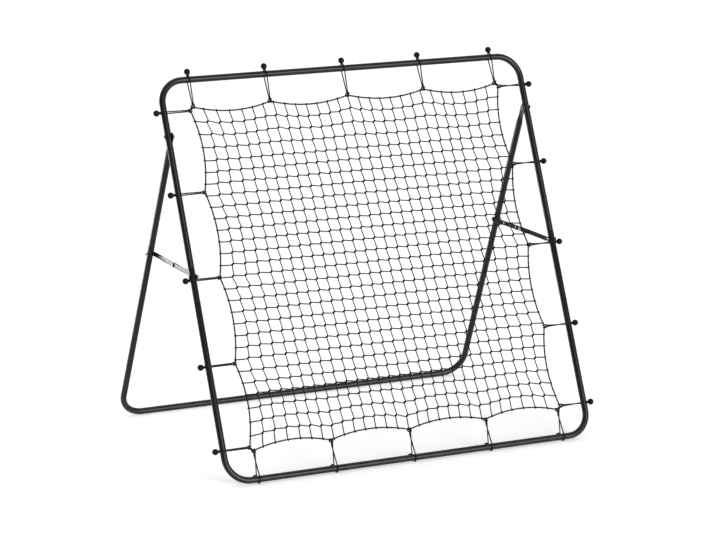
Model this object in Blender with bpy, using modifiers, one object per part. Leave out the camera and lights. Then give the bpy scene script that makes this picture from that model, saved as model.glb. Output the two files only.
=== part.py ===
"""Soccer rebound net: a square tube frame with a net held by ball bungees,
leaning on a folding rear frame. Metres, +Z up, front towards -Y."""

import math

import bmesh
import bpy
from mathutils import Euler, Matrix, Vector

# Front ring and rear frame, measured between tube axes
RING_WIDTH = 1.181
RING_HEIGHT = 1.181
BEND_RADIUS = 0.070
TUBE_DIAMETER = 0.019
TUBE_WALL = 0.0012
RING_LEAN = math.radians(24.0)
REAR_LEAN = math.radians(24.0)
PIVOT_DROP = 0.165
JOINT_HEIGHT = 0.600
REAR_WIDTH = 1.187

# Swaged joint, where a reduced tube end slides into the next tube
SPIGOT_LENGTH = 0.050
SPIGOT_CLEARANCE = 0.0003
SWAGE_LENGTH = 0.0015

# Pressed upper end of each rear leg
FLAT_THICKNESS = 0.003
FLAT_WIDTH = 0.024
FLAT_LENGTH = 0.018
FLAT_TAPER = 0.038

# Folding brace of two flat bars a side
BAR_WIDTH = 0.014
BAR_THICKNESS = 0.002
BAR_END = 0.008
BAR_CLEARANCE = 0.0010
BAR_SEAT_LENGTH = 0.030
BAR_SET_END = 0.120
BAR_SET_STEPS = 6
ADJUSTING_HOLES = 3
ADJUSTING_PITCH = 0.035
ADJUSTING_HOLE_DIAMETER = 0.0065

# Bolts and nuts
SHANK_DIAMETER = 0.006
SHANK_CLEARANCE = 0.0003
HEAD_DIAMETER = 0.012
HEAD_HEIGHT = 0.0036
NUT_ACROSS_FLATS = 0.010
NUT_HEIGHT = 0.005
SHANK_PROUD = 0.0015

# Net and its edge rope
NET_INSET = 0.083
NET_GAPS = 13
EDGE_GAPS = 2
EDGE_GAP_RATIO = 1.16
STRAND_DIAMETER = 0.002
ROPE_DIAMETER = 0.003
SCALLOP_DEPTH = 0.018
SCALLOP_FADE = 0.190
CORNER_CUT = 0.002

# Ball bungees
CORNER_TIE_INSET = 0.093
INNER_TIE_OFFSET = 0.253
CORD_DIAMETER = 0.003
CORD_PRESSED = 0.0003
CORD_PAIR_GAP = 0.0004
CORD_SLACK = 0.0010
BALL_DIAMETER = 0.0175
BALL_REACH = 0.024
BALL_FLOOR_GAP = 0.0003

# Seat gap between touching pieces, and the facets that draw round shapes
GAP = 0.0003
TUBE_SIDES = 12
CORD_SIDES = 6
BEND_STEPS = 6
HOLE_SIDES = 12
WRAP_STEP = math.radians(35.0)
CUT_MARGIN = 0.001

TUBE_RADIUS = TUBE_DIAMETER / 2
CORD_RADIUS = CORD_DIAMETER / 2
BALL_RADIUS = BALL_DIAMETER / 2
SHANK_RADIUS = SHANK_DIAMETER / 2
HOLE_RADIUS = SHANK_RADIUS + SHANK_CLEARANCE
BORE_RADIUS = TUBE_RADIUS - TUBE_WALL
SPIGOT_RADIUS = BORE_RADIUS - SPIGOT_CLEARANCE
SPIGOT_BORE_RADIUS = SPIGOT_RADIUS - TUBE_WALL
WRAP_RADIUS = TUBE_RADIUS + GAP + CORD_RADIUS

PIVOT_HEIGHT = RING_HEIGHT - PIVOT_DROP

# The ring stands on its lowest bungee cords, the rear frame on its own tube
RING_LIFT = WRAP_RADIUS + CORD_RADIUS - CORD_PRESSED
REAR_LIFT = TUBE_RADIUS * math.cos(math.pi / TUBE_SIDES)
PIVOT_Z = RING_LIFT + PIVOT_HEIGHT * math.cos(RING_LEAN)
LEG_LENGTH = (PIVOT_Z - REAR_LIFT) / math.cos(REAR_LEAN)
BRACE_DROP = PIVOT_HEIGHT - JOINT_HEIGHT
STAND_DEPTH = PIVOT_HEIGHT * math.sin(RING_LEAN) + LEG_LENGTH * math.sin(REAR_LEAN)
FRONT_REACH = WRAP_RADIUS / math.cos(WRAP_STEP / 2) + CORD_RADIUS
RING_Y = (FRONT_REACH - TUBE_RADIUS - STAND_DEPTH) / 2
PIVOT_Y = RING_Y + PIVOT_HEIGHT * math.sin(RING_LEAN)

# What lies beside the ring's side tubes, from its inner wall to the middle
RING_INNER_WALL = RING_WIDTH / 2 - TUBE_RADIUS
RING_OUTER_WALL = RING_WIDTH / 2 + TUBE_RADIUS
FRONT_BAR_X = RING_INNER_WALL - GAP - BAR_THICKNESS / 2
REAR_BAR_X = FRONT_BAR_X - BAR_THICKNESS - GAP
FLAT_X = RING_INNER_WALL - GAP - FLAT_THICKNESS / 2

# The rear frame widens from the pressed ends of its legs to its base
REAR_FLARE = (REAR_WIDTH / 2 - FLAT_X) / (LEG_LENGTH - FLAT_LENGTH)
LEG_JOINT_X = FLAT_X + REAR_FLARE * (BRACE_DROP - FLAT_LENGTH)

# The rear bar clears the inner wall of its leg, which leans in above the bolt
BAR_SEAT_X = LEG_JOINT_X - TUBE_RADIUS - BAR_CLEARANCE - BAR_THICKNESS / 2

# The balls' facets are turned so that no corner lies on an edge of the cord
BALL_TURN = Euler((0.31, 0.17, 0.43))

SIDES = {"left": -1, "right": 1}


def start_empty():
    for old in list(bpy.data.objects):
        bpy.data.objects.remove(old, do_unlink=True)


def new_collection(name):
    collection = bpy.data.collections.new(name)
    bpy.context.scene.collection.children.link(collection)
    return collection


def new_material(name, colour, roughness, metallic):
    material = bpy.data.materials.new(name)
    material.use_nodes = True
    shader = material.node_tree.nodes["Principled BSDF"]
    shader.inputs["Base Color"].default_value = (*colour, 1.0)
    shader.inputs["Roughness"].default_value = roughness
    shader.inputs["Metallic"].default_value = metallic
    return material


def new_frame(name, location, turn, parent=None):
    """An empty that carries one of the two frames, turned about X."""
    empty = bpy.data.objects.new(name, None)
    PARTS.objects.link(empty)
    empty.location = location
    empty.rotation_euler = (turn, 0.0, 0.0)
    empty.parent = parent
    return empty


def add_object(name, data, material, parent=None, collection=None):
    made = bpy.data.objects.new(name, data)
    (collection or PARTS).objects.link(made)
    made.parent = parent
    if material and not data.materials:
        data.materials.append(material)
    return made


def smooth(mesh, angle=40.0):
    mesh.shade_smooth()
    mesh.set_sharp_from_angle(angle=math.radians(angle))


def as_cutter(made):
    made.hide_render = True
    made.display_type = "WIRE"
    return made


def cut(target, cutter):
    modifier = target.modifiers.new(f"cut_{cutter.name}", "BOOLEAN")
    modifier.operation = "DIFFERENCE"
    modifier.object = cutter


def arc_points(centre, radius, start, end, steps):
    """Points on an arc in the XY plane, both ends included, angles in radians."""
    turns = [start + (end - start) * i / steps for i in range(steps + 1)]
    return [
        (centre[0] + radius * math.cos(a), centre[1] + radius * math.sin(a), 0.0)
        for a in turns
    ]


def swept_mesh(name, points, radii, sides, tilt=0.0, cyclic=False, twist="Z_UP"):
    """A closed tube along the points, made by a bevelled curve and then a mesh."""
    curve = bpy.data.curves.new(name, "CURVE")
    curve.dimensions = "3D"
    curve.twist_mode = twist
    curve.bevel_depth = 1.0
    curve.bevel_resolution = (sides - 4) // 2
    curve.use_fill_caps = not cyclic
    spline = curve.splines.new("POLY")
    spline.points.add(len(points) - 1)
    for point, place, radius in zip(spline.points, points, radii):
        point.co = (*place, 1.0)
        point.radius = radius
        point.tilt = tilt
    spline.use_cyclic_u = cyclic
    carrier = bpy.data.objects.new(name, curve)
    bpy.context.scene.collection.objects.link(carrier)
    graph = bpy.context.evaluated_depsgraph_get()
    mesh = bpy.data.meshes.new_from_object(carrier.evaluated_get(graph))
    bpy.data.objects.remove(carrier, do_unlink=True)
    body = bmesh.new()
    body.from_mesh(mesh)
    bmesh.ops.remove_doubles(body, verts=body.verts, dist=0.00001)
    bmesh.ops.recalc_face_normals(body, faces=body.faces)
    body.to_mesh(mesh)
    body.free()
    mesh.name = name
    smooth(mesh)
    return mesh


def round_cutter(name, parent, place, length, radius=HOLE_RADIUS):
    """A cylinder across the object, along X, that drills a bolt hole."""
    mesh = bpy.data.meshes.new(name)
    body = bmesh.new()
    bmesh.ops.create_cone(
        body,
        cap_ends=True,
        segments=HOLE_SIDES,
        radius1=radius,
        radius2=radius,
        depth=length,
    )
    body.to_mesh(mesh)
    body.free()
    drill = as_cutter(add_object(name, mesh, None, parent, CUTTERS))
    drill.location = place
    drill.rotation_euler = (0.0, math.pi / 2, 0.0)
    return drill


def u_route(half_mouth, half_base, end, base):
    """A U in the XY plane: down the left side, across the base, up the right side.
    Its sides lean out where the base is wider than the mouth."""
    up = 1.0 if end > base else -1.0
    turn = math.pi * up
    flare = math.atan2(half_base - half_mouth, abs(end - base))
    reach = half_base - BEND_RADIUS * (1.0 + math.sin(flare)) / math.cos(flare)
    height = base + up * BEND_RADIUS
    route = [(-half_mouth, end, 0.0)]
    start = turn - up * flare
    route += arc_points((-reach, height), BEND_RADIUS, start, turn * 1.5, BEND_STEPS)
    route += arc_points((reach, height), BEND_RADIUS, -turn * 0.5, up * flare, BEND_STEPS)
    route.append((half_mouth, end, 0.0))
    return route


def hollow_tube(name, route, ends, tilt, parent, material):
    """A bent tube with its bore. ends is spigot or socket, the form of both its ends."""
    first, last = Vector(route[0]), Vector(route[-1])
    into = (Vector(route[1]) - first).normalized()
    out = (last - Vector(route[-2])).normalized()
    body_points = [tuple(first), *route[1:-1], tuple(last)]
    body_radii = [TUBE_RADIUS] * len(body_points)
    bore_radii = [BORE_RADIUS] * len(body_points)
    if ends == "spigot":
        swage = (GAP, GAP + SWAGE_LENGTH)
        heads = [first - into * SPIGOT_LENGTH, first + into * swage[0]]
        tails = [last + out * SPIGOT_LENGTH, last - out * swage[0]]
        heads.append(first + into * swage[1])
        tails.append(last - out * swage[1])
        inner = [tuple(point) for point in route[1:-1]]
        body_points = [tuple(p) for p in heads] + inner + [tuple(p) for p in reversed(tails)]
        slim = [SPIGOT_RADIUS, SPIGOT_RADIUS]
        slim_bore = [SPIGOT_BORE_RADIUS, SPIGOT_BORE_RADIUS]
        middle = len(inner) + 2
        body_radii = slim + [TUBE_RADIUS] * middle + slim
        bore_radii = slim_bore + [BORE_RADIUS] * middle + slim_bore
    tube_mesh = swept_mesh(name, body_points, body_radii, TUBE_SIDES, tilt)
    tube = add_object(name, tube_mesh, material, parent)
    bore_points = list(body_points)
    bore_points[0] = tuple(Vector(body_points[0]) - into * CUT_MARGIN)
    bore_points[-1] = tuple(Vector(body_points[-1]) + out * CUT_MARGIN)
    bore_mesh = swept_mesh(f"{name}_bore", bore_points, bore_radii, TUBE_SIDES, tilt)
    bore = as_cutter(add_object(f"{name}_bore", bore_mesh, None, parent, CUTTERS))
    cut(tube, bore)
    return tube


def facet_tilt(lean):
    """The turn of a tube's facets that lays one flat on the floor at this lean."""
    return lean - math.pi / TUBE_SIDES


def make_ring():
    mouth = JOINT_HEIGHT + SPIGOT_LENGTH / 2
    half = RING_WIDTH / 2
    upper_route = u_route(half, half, mouth, RING_HEIGHT)
    lower_route = u_route(half, half, mouth, 0.0)
    tilt = facet_tilt(RING_LEAN)
    upper = hollow_tube("ring_upper", upper_route, "spigot", -tilt, RING_FRAME, PAINT)
    lower = hollow_tube("ring_lower", lower_route, "socket", tilt, RING_FRAME, PAINT)
    drill_length = TUBE_DIAMETER * 2
    for side, sign in SIDES.items():
        at_pivot = (sign * half, PIVOT_HEIGHT, 0.0)
        cut(upper, round_cutter(f"pivot_hole_{side}", RING_FRAME, at_pivot, drill_length))
        at_joint = (sign * half, JOINT_HEIGHT, 0.0)
        drill = round_cutter(f"ring_joint_hole_{side}", RING_FRAME, at_joint, drill_length)
        cut(upper, drill)
        cut(lower, drill)


def blend_step(share):
    """Eases from 0 to 1."""
    return share * share * (3.0 - 2.0 * share)


def leg_axis(down):
    """How far the leg's axis lies from the middle, at this distance below the pivot."""
    return FLAT_X + REAR_FLARE * max(down - FLAT_LENGTH, 0.0)


def leg_section(down, sign):
    """One cross-section of the rear leg: its points at this distance below the pivot."""
    half_width = FLAT_WIDTH / 2
    if down < 0.0:
        half_width = math.sqrt(max(half_width**2 - down**2, 0.0))
    share = min(max((down - FLAT_LENGTH) / FLAT_TAPER, 0.0), 1.0)
    share = blend_step(share)
    mouth = BRACE_DROP - SPIGOT_LENGTH / 2
    radius = TUBE_RADIUS if down < mouth - GAP - SWAGE_LENGTH / 2 else SPIGOT_RADIUS
    tilt = facet_tilt(REAR_LEAN)
    section = []
    for i in range(TUBE_SIDES):
        angle = tilt + 2 * math.pi * i / TUBE_SIDES
        across, along = math.cos(angle), math.sin(angle)
        square = math.copysign(abs(across) ** 0.35, across)
        axis = leg_axis(down)
        flat = Vector((axis + square * FLAT_THICKNESS / 2, -down, along * half_width))
        tube = Vector((axis + across * radius, -down, along * radius))
        place = flat.lerp(tube, share)
        section.append((sign * place.x, place.y, place.z))
    return section


def loft(name, sections):
    """Skin over sections with equal numbers of points, closed at both ends."""
    mesh = bpy.data.meshes.new(name)
    body = bmesh.new()
    rings = [[body.verts.new(place) for place in section] for section in sections]
    count = len(rings[0])
    for upper, lower in zip(rings, rings[1:]):
        for i in range(count):
            j = (i + 1) % count
            body.faces.new((upper[i], upper[j], lower[j], lower[i]))
    body.faces.new(rings[0])
    body.faces.new(rings[-1])
    bmesh.ops.recalc_face_normals(body, faces=body.faces)
    body.to_mesh(mesh)
    body.free()
    smooth(mesh)
    return mesh


def make_leg(side, sign):
    """A rear leg: pressed flat and rounded at the pivot, swaged at its lower end."""
    tip = [-FLAT_WIDTH / 2 * math.sin(math.radians(a)) for a in (78.0, 52.0, 26.0)]
    taper = [FLAT_LENGTH + FLAT_TAPER * i / 5 for i in range(6)]
    mouth = BRACE_DROP - SPIGOT_LENGTH / 2
    swage = [mouth - GAP - SWAGE_LENGTH, mouth - GAP]
    downs = tip + [0.0] + taper + swage + [mouth + SPIGOT_LENGTH]
    mesh = loft(f"rear_leg_{side}", [leg_section(down, sign) for down in downs])
    leg = add_object(f"rear_leg_{side}", mesh, PAINT, REAR_FRAME)
    blind = FLAT_LENGTH + FLAT_TAPER + TUBE_RADIUS
    bore_downs = [blind, *swage, mouth + SPIGOT_LENGTH + CUT_MARGIN]
    bore_points = [(sign * leg_axis(down), -down, 0.0) for down in bore_downs]
    bore_radii = [BORE_RADIUS, BORE_RADIUS, SPIGOT_BORE_RADIUS, SPIGOT_BORE_RADIUS]
    bore_name = f"rear_leg_bore_{side}"
    tilt = sign * facet_tilt(REAR_LEAN)
    bore_mesh = swept_mesh(bore_name, bore_points, bore_radii, TUBE_SIDES, tilt)
    bore = as_cutter(add_object(bore_name, bore_mesh, None, REAR_FRAME, CUTTERS))
    cut(leg, bore)
    at_pivot = (sign * FLAT_X, 0.0, 0.0)
    drill = round_cutter(f"leg_pivot_hole_{side}", REAR_FRAME, at_pivot, FLAT_THICKNESS * 3)
    cut(leg, drill)
    return leg


def make_rear_frame():
    mouth = BRACE_DROP - SPIGOT_LENGTH / 2
    route = u_route(leg_axis(mouth), REAR_WIDTH / 2, -mouth, -LEG_LENGTH)
    tilt = -facet_tilt(REAR_LEAN)
    base = hollow_tube("rear_base", route, "socket", tilt, REAR_FRAME, PAINT)
    for side, sign in SIDES.items():
        leg = make_leg(side, sign)
        place = (sign * LEG_JOINT_X, -BRACE_DROP, 0.0)
        drill = round_cutter(f"leg_joint_hole_{side}", REAR_FRAME, place, TUBE_DIAMETER * 2)
        cut(leg, drill)
        cut(base, drill)


def circle(radius, centre=0.0, sides=HOLE_SIDES):
    """Points of a round hole in a flat outline."""
    steps = [2 * math.pi * i / sides for i in range(sides)]
    return [(centre + radius * math.cos(a), radius * math.sin(a), 0.0) for a in steps]


def flat_plate(name, outlines, thickness, material, parent=None):
    """A flat piece cut from sheet: the first outline is its edge, the rest its holes."""
    curve = bpy.data.curves.new(name, "CURVE")
    curve.dimensions = "2D"
    curve.fill_mode = "BOTH"
    curve.extrude = thickness / 2
    for outline in outlines:
        spline = curve.splines.new("POLY")
        spline.points.add(len(outline) - 1)
        for point, place in zip(spline.points, outline):
            point.co = (*place, 1.0)
        spline.use_cyclic_u = True
        spline.use_smooth = False
    return add_object(name, curve, material, parent)


def bar_outline(start, end):
    """A strip with half-round ends, along X from start to end."""
    half = BAR_WIDTH / 2
    half_turn = math.pi / 2
    right = arc_points((end - half, 0.0), half, -half_turn, half_turn, 8)
    left = arc_points((start + half, 0.0), half, half_turn, 3 * half_turn, 8)
    return right + left


def brace_points():
    """World places, in the YZ plane, of the brace's ring end and leg end."""
    ring_end = Vector(
        (
            0.0,
            RING_Y + JOINT_HEIGHT * math.sin(RING_LEAN),
            RING_LIFT + JOINT_HEIGHT * math.cos(RING_LEAN),
        )
    )
    leg_end = Vector(
        (
            0.0,
            PIVOT_Y + BRACE_DROP * math.sin(REAR_LEAN),
            PIVOT_Z - BRACE_DROP * math.cos(REAR_LEAN),
        )
    )
    return ring_end, leg_end


def place_across(made, place, turn):
    """Stands a flat piece in the YZ plane, its length at this turn from +Y."""
    lay_across = Matrix.Rotation(math.pi / 2, 4, "Z") @ Matrix.Rotation(math.pi / 2, 4, "X")
    made.matrix_world = (
        Matrix.Translation(place) @ Matrix.Rotation(turn, 4, "X") @ lay_across
    )


def as_mesh(made):
    """The object's finished shape as a mesh with its doubles merged."""
    graph = bpy.context.evaluated_depsgraph_get()
    mesh = bpy.data.meshes.new_from_object(made.evaluated_get(graph))
    bpy.data.objects.remove(made, do_unlink=True)
    body = bmesh.new()
    body.from_mesh(mesh)
    bmesh.ops.remove_doubles(body, verts=body.verts, dist=0.00001)
    bmesh.ops.recalc_face_normals(body, faces=body.faces)
    body.to_mesh(mesh)
    body.free()
    return mesh


def set_bar(name, plate, offset):
    """Joggles a flat bar: it seats on the leg at its start and runs over to the
    plane of the brace's middle bolt."""
    mesh = as_mesh(plate)
    run = BAR_SET_END - BAR_SEAT_LENGTH
    stations = [BAR_SEAT_LENGTH + run * i / BAR_SET_STEPS for i in range(BAR_SET_STEPS + 1)]
    body = bmesh.new()
    body.from_mesh(mesh)
    for station in stations:
        everything = [*body.verts, *body.edges, *body.faces]
        place, normal = (station, 0.0, 0.0), (1.0, 0.0, 0.0)
        bmesh.ops.bisect_plane(
            body,
            geom=everything,
            dist=0.000001,
            plane_co=place,
            plane_no=normal,
        )
    for vertex in body.verts:
        share = min(max((vertex.co.x - BAR_SEAT_LENGTH) / run, 0.0), 1.0)
        step = min(int(share * BAR_SET_STEPS + 0.0001), BAR_SET_STEPS - 1)
        start = blend_step(step / BAR_SET_STEPS)
        end = blend_step((step + 1) / BAR_SET_STEPS)
        over = start + (end - start) * (share * BAR_SET_STEPS - step)
        vertex.co.z += offset * (1.0 - over)
    body.to_mesh(mesh)
    body.free()
    mesh.name = name
    return add_object(name, mesh, PAINT)


def make_braces():
    """Two flat bars a side. The rear one has a row of adjusting holes."""
    ring_end, leg_end = brace_points()
    span = leg_end - ring_end
    half_span = span.length / 2
    turn = math.atan2(span.z, span.y)
    tail = half_span + ADJUSTING_PITCH
    beside_bolt = [i for i in range(-ADJUSTING_HOLES, 2) if i != 0]
    for side, sign in SIDES.items():
        front_holes = [circle(HOLE_RADIUS), circle(HOLE_RADIUS, half_span)]
        front_outline = bar_outline(-BAR_END, half_span + BAR_END)
        front_name = f"front_bar_{side}"
        front = flat_plate(front_name, [front_outline, *front_holes], BAR_THICKNESS, PAINT)
        place_across(front, (sign * FRONT_BAR_X, ring_end.y, ring_end.z), turn)
        places = [half_span + ADJUSTING_PITCH * i for i in beside_bolt]
        adjusting = [circle(ADJUSTING_HOLE_DIAMETER / 2, place) for place in places]
        rear_holes = [circle(HOLE_RADIUS), circle(HOLE_RADIUS, half_span), *adjusting]
        rear_outline = bar_outline(-BAR_END, tail + BAR_END)
        rear_name = f"rear_bar_{side}"
        flat = flat_plate(f"{rear_name}_flat", [rear_outline, *rear_holes], BAR_THICKNESS, None)
        rear = set_bar(rear_name, flat, sign * (BAR_SEAT_X - REAR_BAR_X))
        place_across(rear, (sign * REAR_BAR_X, leg_end.y, leg_end.z), turn + math.pi)


def turned_mesh(name, profile):
    """A solid of revolution about Z. The profile runs top to bottom at +X."""
    mesh = bpy.data.meshes.new(name)
    edges = [(i, i + 1) for i in range(len(profile) - 1)]
    mesh.from_pydata([(x, 0.0, z) for x, z in profile], edges, [])
    return mesh


def add_turned(name, profile, material):
    made = add_object(name, turned_mesh(name, profile), material)
    screw = made.modifiers.new("turn", "SCREW")
    screw.steps = HOLE_SIDES
    screw.render_steps = HOLE_SIDES
    screw.use_merge_vertices = True
    screw.merge_threshold = 0.00001
    screw.use_smooth_shade = True
    return made


def head_profile():
    """A low dome from its crown to its rim."""
    half = HEAD_DIAMETER / 2
    steps = [math.radians(a) for a in (90.0, 62.0, 34.0)]
    dome = [(half * math.cos(a), HEAD_HEIGHT * math.sin(a)) for a in steps]
    dome[0] = (0.0, HEAD_HEIGHT)
    return dome + [(half, HEAD_HEIGHT * 0.3), (half, 0.0)]


def hexagon(across_flats):
    corner = across_flats / math.sqrt(3.0)
    return circle(corner, 0.0, 6)


def point_along_x(made, place, sign):
    """Turns a fastener so that its head faces outwards (1) or inwards (-1) along X."""
    made.location = place
    made.rotation_euler = (0.0, sign * math.pi / 2, 0.0)


def make_bolt(name, place, facing, grip):
    """A domed bolt whose head seats at this place and whose shank runs the grip."""
    profile = head_profile()
    profile += [(SHANK_RADIUS, 0.0), (SHANK_RADIUS, -grip), (0.0, -grip)]
    bolt = add_turned(name, profile, STEEL)
    point_along_x(bolt, place, facing)


def make_nut(name, place, facing):
    """A hexagon nut whose seat is at this place, its body standing away from the seat."""
    nut = flat_plate(name, [hexagon(NUT_ACROSS_FLATS), circle(HOLE_RADIUS)], NUT_HEIGHT, STEEL)
    x, y, z = place
    point_along_x(nut, (x + facing * NUT_HEIGHT / 2, y, z), facing)


def make_stub_nut(name, place, facing, through):
    """The brace's middle nut with the end of its bolt, which passes one bar."""
    hexagonal = flat_plate(f"{name}_hexagon", [hexagon(NUT_ACROSS_FLATS)], NUT_HEIGHT, None)
    nut = add_object(name, as_mesh(hexagonal), STEEL)
    x, y, z = place
    point_along_x(nut, (x + facing * NUT_HEIGHT / 2, y, z), facing)
    length = through + NUT_HEIGHT + SHANK_PROUD
    stub = round_cutter(f"{name}_shank", None, place, length, SHANK_RADIUS)
    stub.location.x += facing * (length / 2 - through)
    join = nut.modifiers.new("bolt_end", "BOOLEAN")
    join.operation = "UNION"
    join.object = stub


def make_fasteners():
    ring_end, leg_end = brace_points()
    middle = (ring_end + leg_end) / 2
    pivot = Vector((0.0, PIVOT_Y, PIVOT_Z))
    seat = RING_OUTER_WALL + GAP
    behind_nut = GAP + NUT_HEIGHT + SHANK_PROUD
    flat_face = FLAT_X - FLAT_THICKNESS / 2
    front_face = FRONT_BAR_X - BAR_THICKNESS / 2
    rear_inner = REAR_BAR_X - BAR_THICKNESS / 2
    bar_face = BAR_SEAT_X - BAR_THICKNESS / 2 - GAP
    leg_outer = LEG_JOINT_X + TUBE_RADIUS
    front_outer = FRONT_BAR_X + BAR_THICKNESS / 2
    for side, sign in SIDES.items():
        at = (sign * seat, pivot.y, pivot.z)
        make_bolt(f"pivot_bolt_{side}", at, sign, seat - flat_face + behind_nut)
        at = (sign * (flat_face - GAP), pivot.y, pivot.z)
        make_nut(f"pivot_nut_{side}", at, -sign)
        at = (sign * seat, ring_end.y, ring_end.z)
        make_bolt(f"brace_front_bolt_{side}", at, sign, seat - front_face + behind_nut)
        at = (sign * (front_face - GAP), ring_end.y, ring_end.z)
        make_nut(f"brace_front_nut_{side}", at, -sign)
        at = (sign * bar_face, leg_end.y, leg_end.z)
        make_bolt(f"brace_rear_bolt_{side}", at, -sign, leg_outer - bar_face + behind_nut)
        at = (sign * (leg_outer + GAP), leg_end.y, leg_end.z)
        make_nut(f"brace_rear_nut_{side}", at, sign)
        at = (sign * (front_outer + GAP), middle.y, middle.z)
        make_bolt(f"brace_mid_bolt_{side}", at, sign, GAP + BAR_THICKNESS)
        at = (sign * (rear_inner - GAP), middle.y, middle.z)
        make_stub_nut(f"brace_mid_nut_{side}", at, -sign, GAP + BAR_THICKNESS)


def tie_offsets(half):
    """Places of the five ties along one side of the ring, from its middle."""
    corner = half - CORNER_TIE_INSET
    return [-corner, -INNER_TIE_OFFSET, 0.0, INNER_TIE_OFFSET, corner]


def inward(offset, half):
    """How far the net's edge hangs inwards here, between the ties that hold it."""
    ties = tie_offsets(half)
    reach = abs(offset)
    if reach >= ties[-1]:
        corner = half - NET_INSET
        return CORNER_CUT * (reach - ties[-1]) / (corner - ties[-1])
    for start, end in zip(ties, ties[1:]):
        if start <= offset <= end:
            share = (offset - start) / (end - start)
            return 4.0 * SCALLOP_DEPTH * share * (1.0 - share)
    return 0.0


def net_lines(half):
    """Places of the net's strands across one direction, wider near its edges."""
    widths = [
        EDGE_GAP_RATIO if i < EDGE_GAPS or i >= NET_GAPS - EDGE_GAPS else 1.0
        for i in range(NET_GAPS)
    ]
    reach = half - NET_INSET
    scale = 2.0 * reach / sum(widths)
    lines = [-reach]
    for width in widths:
        lines.append(lines[-1] + width * scale)
    return lines


def edge_stations(half):
    """The net's strand places along an edge, with a station between each pair.
    Where a tie lies in a gap, the station is at the tie."""
    lines = net_lines(half)
    ties = tie_offsets(half)
    stations = []
    for start, end in zip(lines, lines[1:]):
        held = [tie for tie in ties if start < tie < end]
        stations += [start, held[0] if held else (start + end) / 2]
    return stations + [lines[-1]]


def fade(distance):
    """How much of the edge's scallop a strand at this distance from it still shows."""
    return max(0.0, 1.0 - distance / SCALLOP_FADE) ** 1.3


def net_point(x, y, half_x, half_y):
    """Where a point of the plain grid lies once the edges are drawn in."""
    reach_x, reach_y = half_x - NET_INSET, half_y - NET_INSET
    draw_x = inward(y, half_y) * fade(reach_x - abs(x))
    draw_y = inward(x, half_x) * fade(reach_y - abs(y))
    return x - math.copysign(draw_x, x), y - math.copysign(draw_y, y)


def edge_keys():
    """Station numbers round the net's edge, anticlockwise from the lower left."""
    last = 2 * NET_GAPS
    keys = [(i, 0) for i in range(last)]
    keys += [(last, j) for j in range(last)]
    keys += [(i, last) for i in range(last, 0, -1)]
    keys += [(0, j) for j in range(last, 0, -1)]
    return keys


def net_edge(half_x, half_y, inset):
    """The net's edge, moved inwards by the inset, as places by station number."""
    stations_x, stations_y = edge_stations(half_x), edge_stations(half_y)
    keys = edge_keys()
    places = [
        Vector(net_point(stations_x[i], stations_y[j], half_x, half_y)) for i, j in keys
    ]
    moved = {}
    for number, key in enumerate(keys):
        place = places[number]
        before = (place - places[number - 1]).normalized()
        after = (places[(number + 1) % len(places)] - place).normalized()
        normal = Vector((-before.y - after.y, before.x + after.x))
        moved[key] = place + normal * (inset / (1.0 + before.dot(after)))
    return moved


def net_gap(i, j, inner_edge, half_x, half_y):
    """The outline of one opening of the net."""
    last = NET_GAPS - 1
    half_strand = STRAND_DIAMETER / 2
    stations_x, stations_y = edge_stations(half_x), edge_stations(half_y)
    steps = [(0, 0)]
    steps += [(1, 0)] if j == 0 else []
    steps += [(2, 0)]
    steps += [(2, 1)] if i == last else []
    steps += [(2, 2)]
    steps += [(1, 2)] if j == last else []
    steps += [(0, 2)]
    steps += [(0, 1)] if i == 0 else []
    outline = []
    for step_x, step_y in steps:
        key = (2 * i + step_x, 2 * j + step_y)
        x, y = stations_x[key[0]], stations_y[key[1]]
        place = inner_edge.get(key) or Vector(net_point(x, y, half_x, half_y))
        if 0 < key[0] < 2 * NET_GAPS:
            place = place + Vector(((1 - step_x) * half_strand, 0.0))
        if 0 < key[1] < 2 * NET_GAPS:
            place = place + Vector((0.0, (1 - step_y) * half_strand))
        outline.append((place.x, place.y, 0.0))
    return outline


def make_net():
    half_x, half_y = RING_WIDTH / 2, RING_HEIGHT / 2
    rope_line = net_edge(half_x, half_y, 0.0)
    outer_edge = net_edge(half_x, half_y, ROPE_DIAMETER / 2 + GAP)
    inner_edge = net_edge(half_x, half_y, ROPE_DIAMETER / 2 + GAP + STRAND_DIAMETER)
    outlines = [[(place.x, place.y, 0.0) for place in outer_edge.values()]]
    for i in range(NET_GAPS):
        for j in range(NET_GAPS):
            outlines.append(net_gap(i, j, inner_edge, half_x, half_y))
    net = flat_plate("net", outlines, STRAND_DIAMETER, TWINE, RING_FRAME)
    net.location = (0.0, half_y, 0.0)
    rope_route = [(place.x, place.y, 0.0) for place in rope_line.values()]
    radii = [ROPE_DIAMETER / 2] * len(rope_route)
    rope_mesh = swept_mesh("border_rope", rope_route, radii, CORD_SIDES, cyclic=True)
    rope = add_object("border_rope", rope_mesh, TWINE, RING_FRAME)
    rope.location = (0.0, half_y, 0.0)


def spread(start, end, step):
    """Angles from start to end in equal parts no longer than the step."""
    parts = max(1, math.ceil(abs(end - start) / step - 0.001))
    return [start + (end - start) * i / parts for i in range(parts + 1)]


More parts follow.
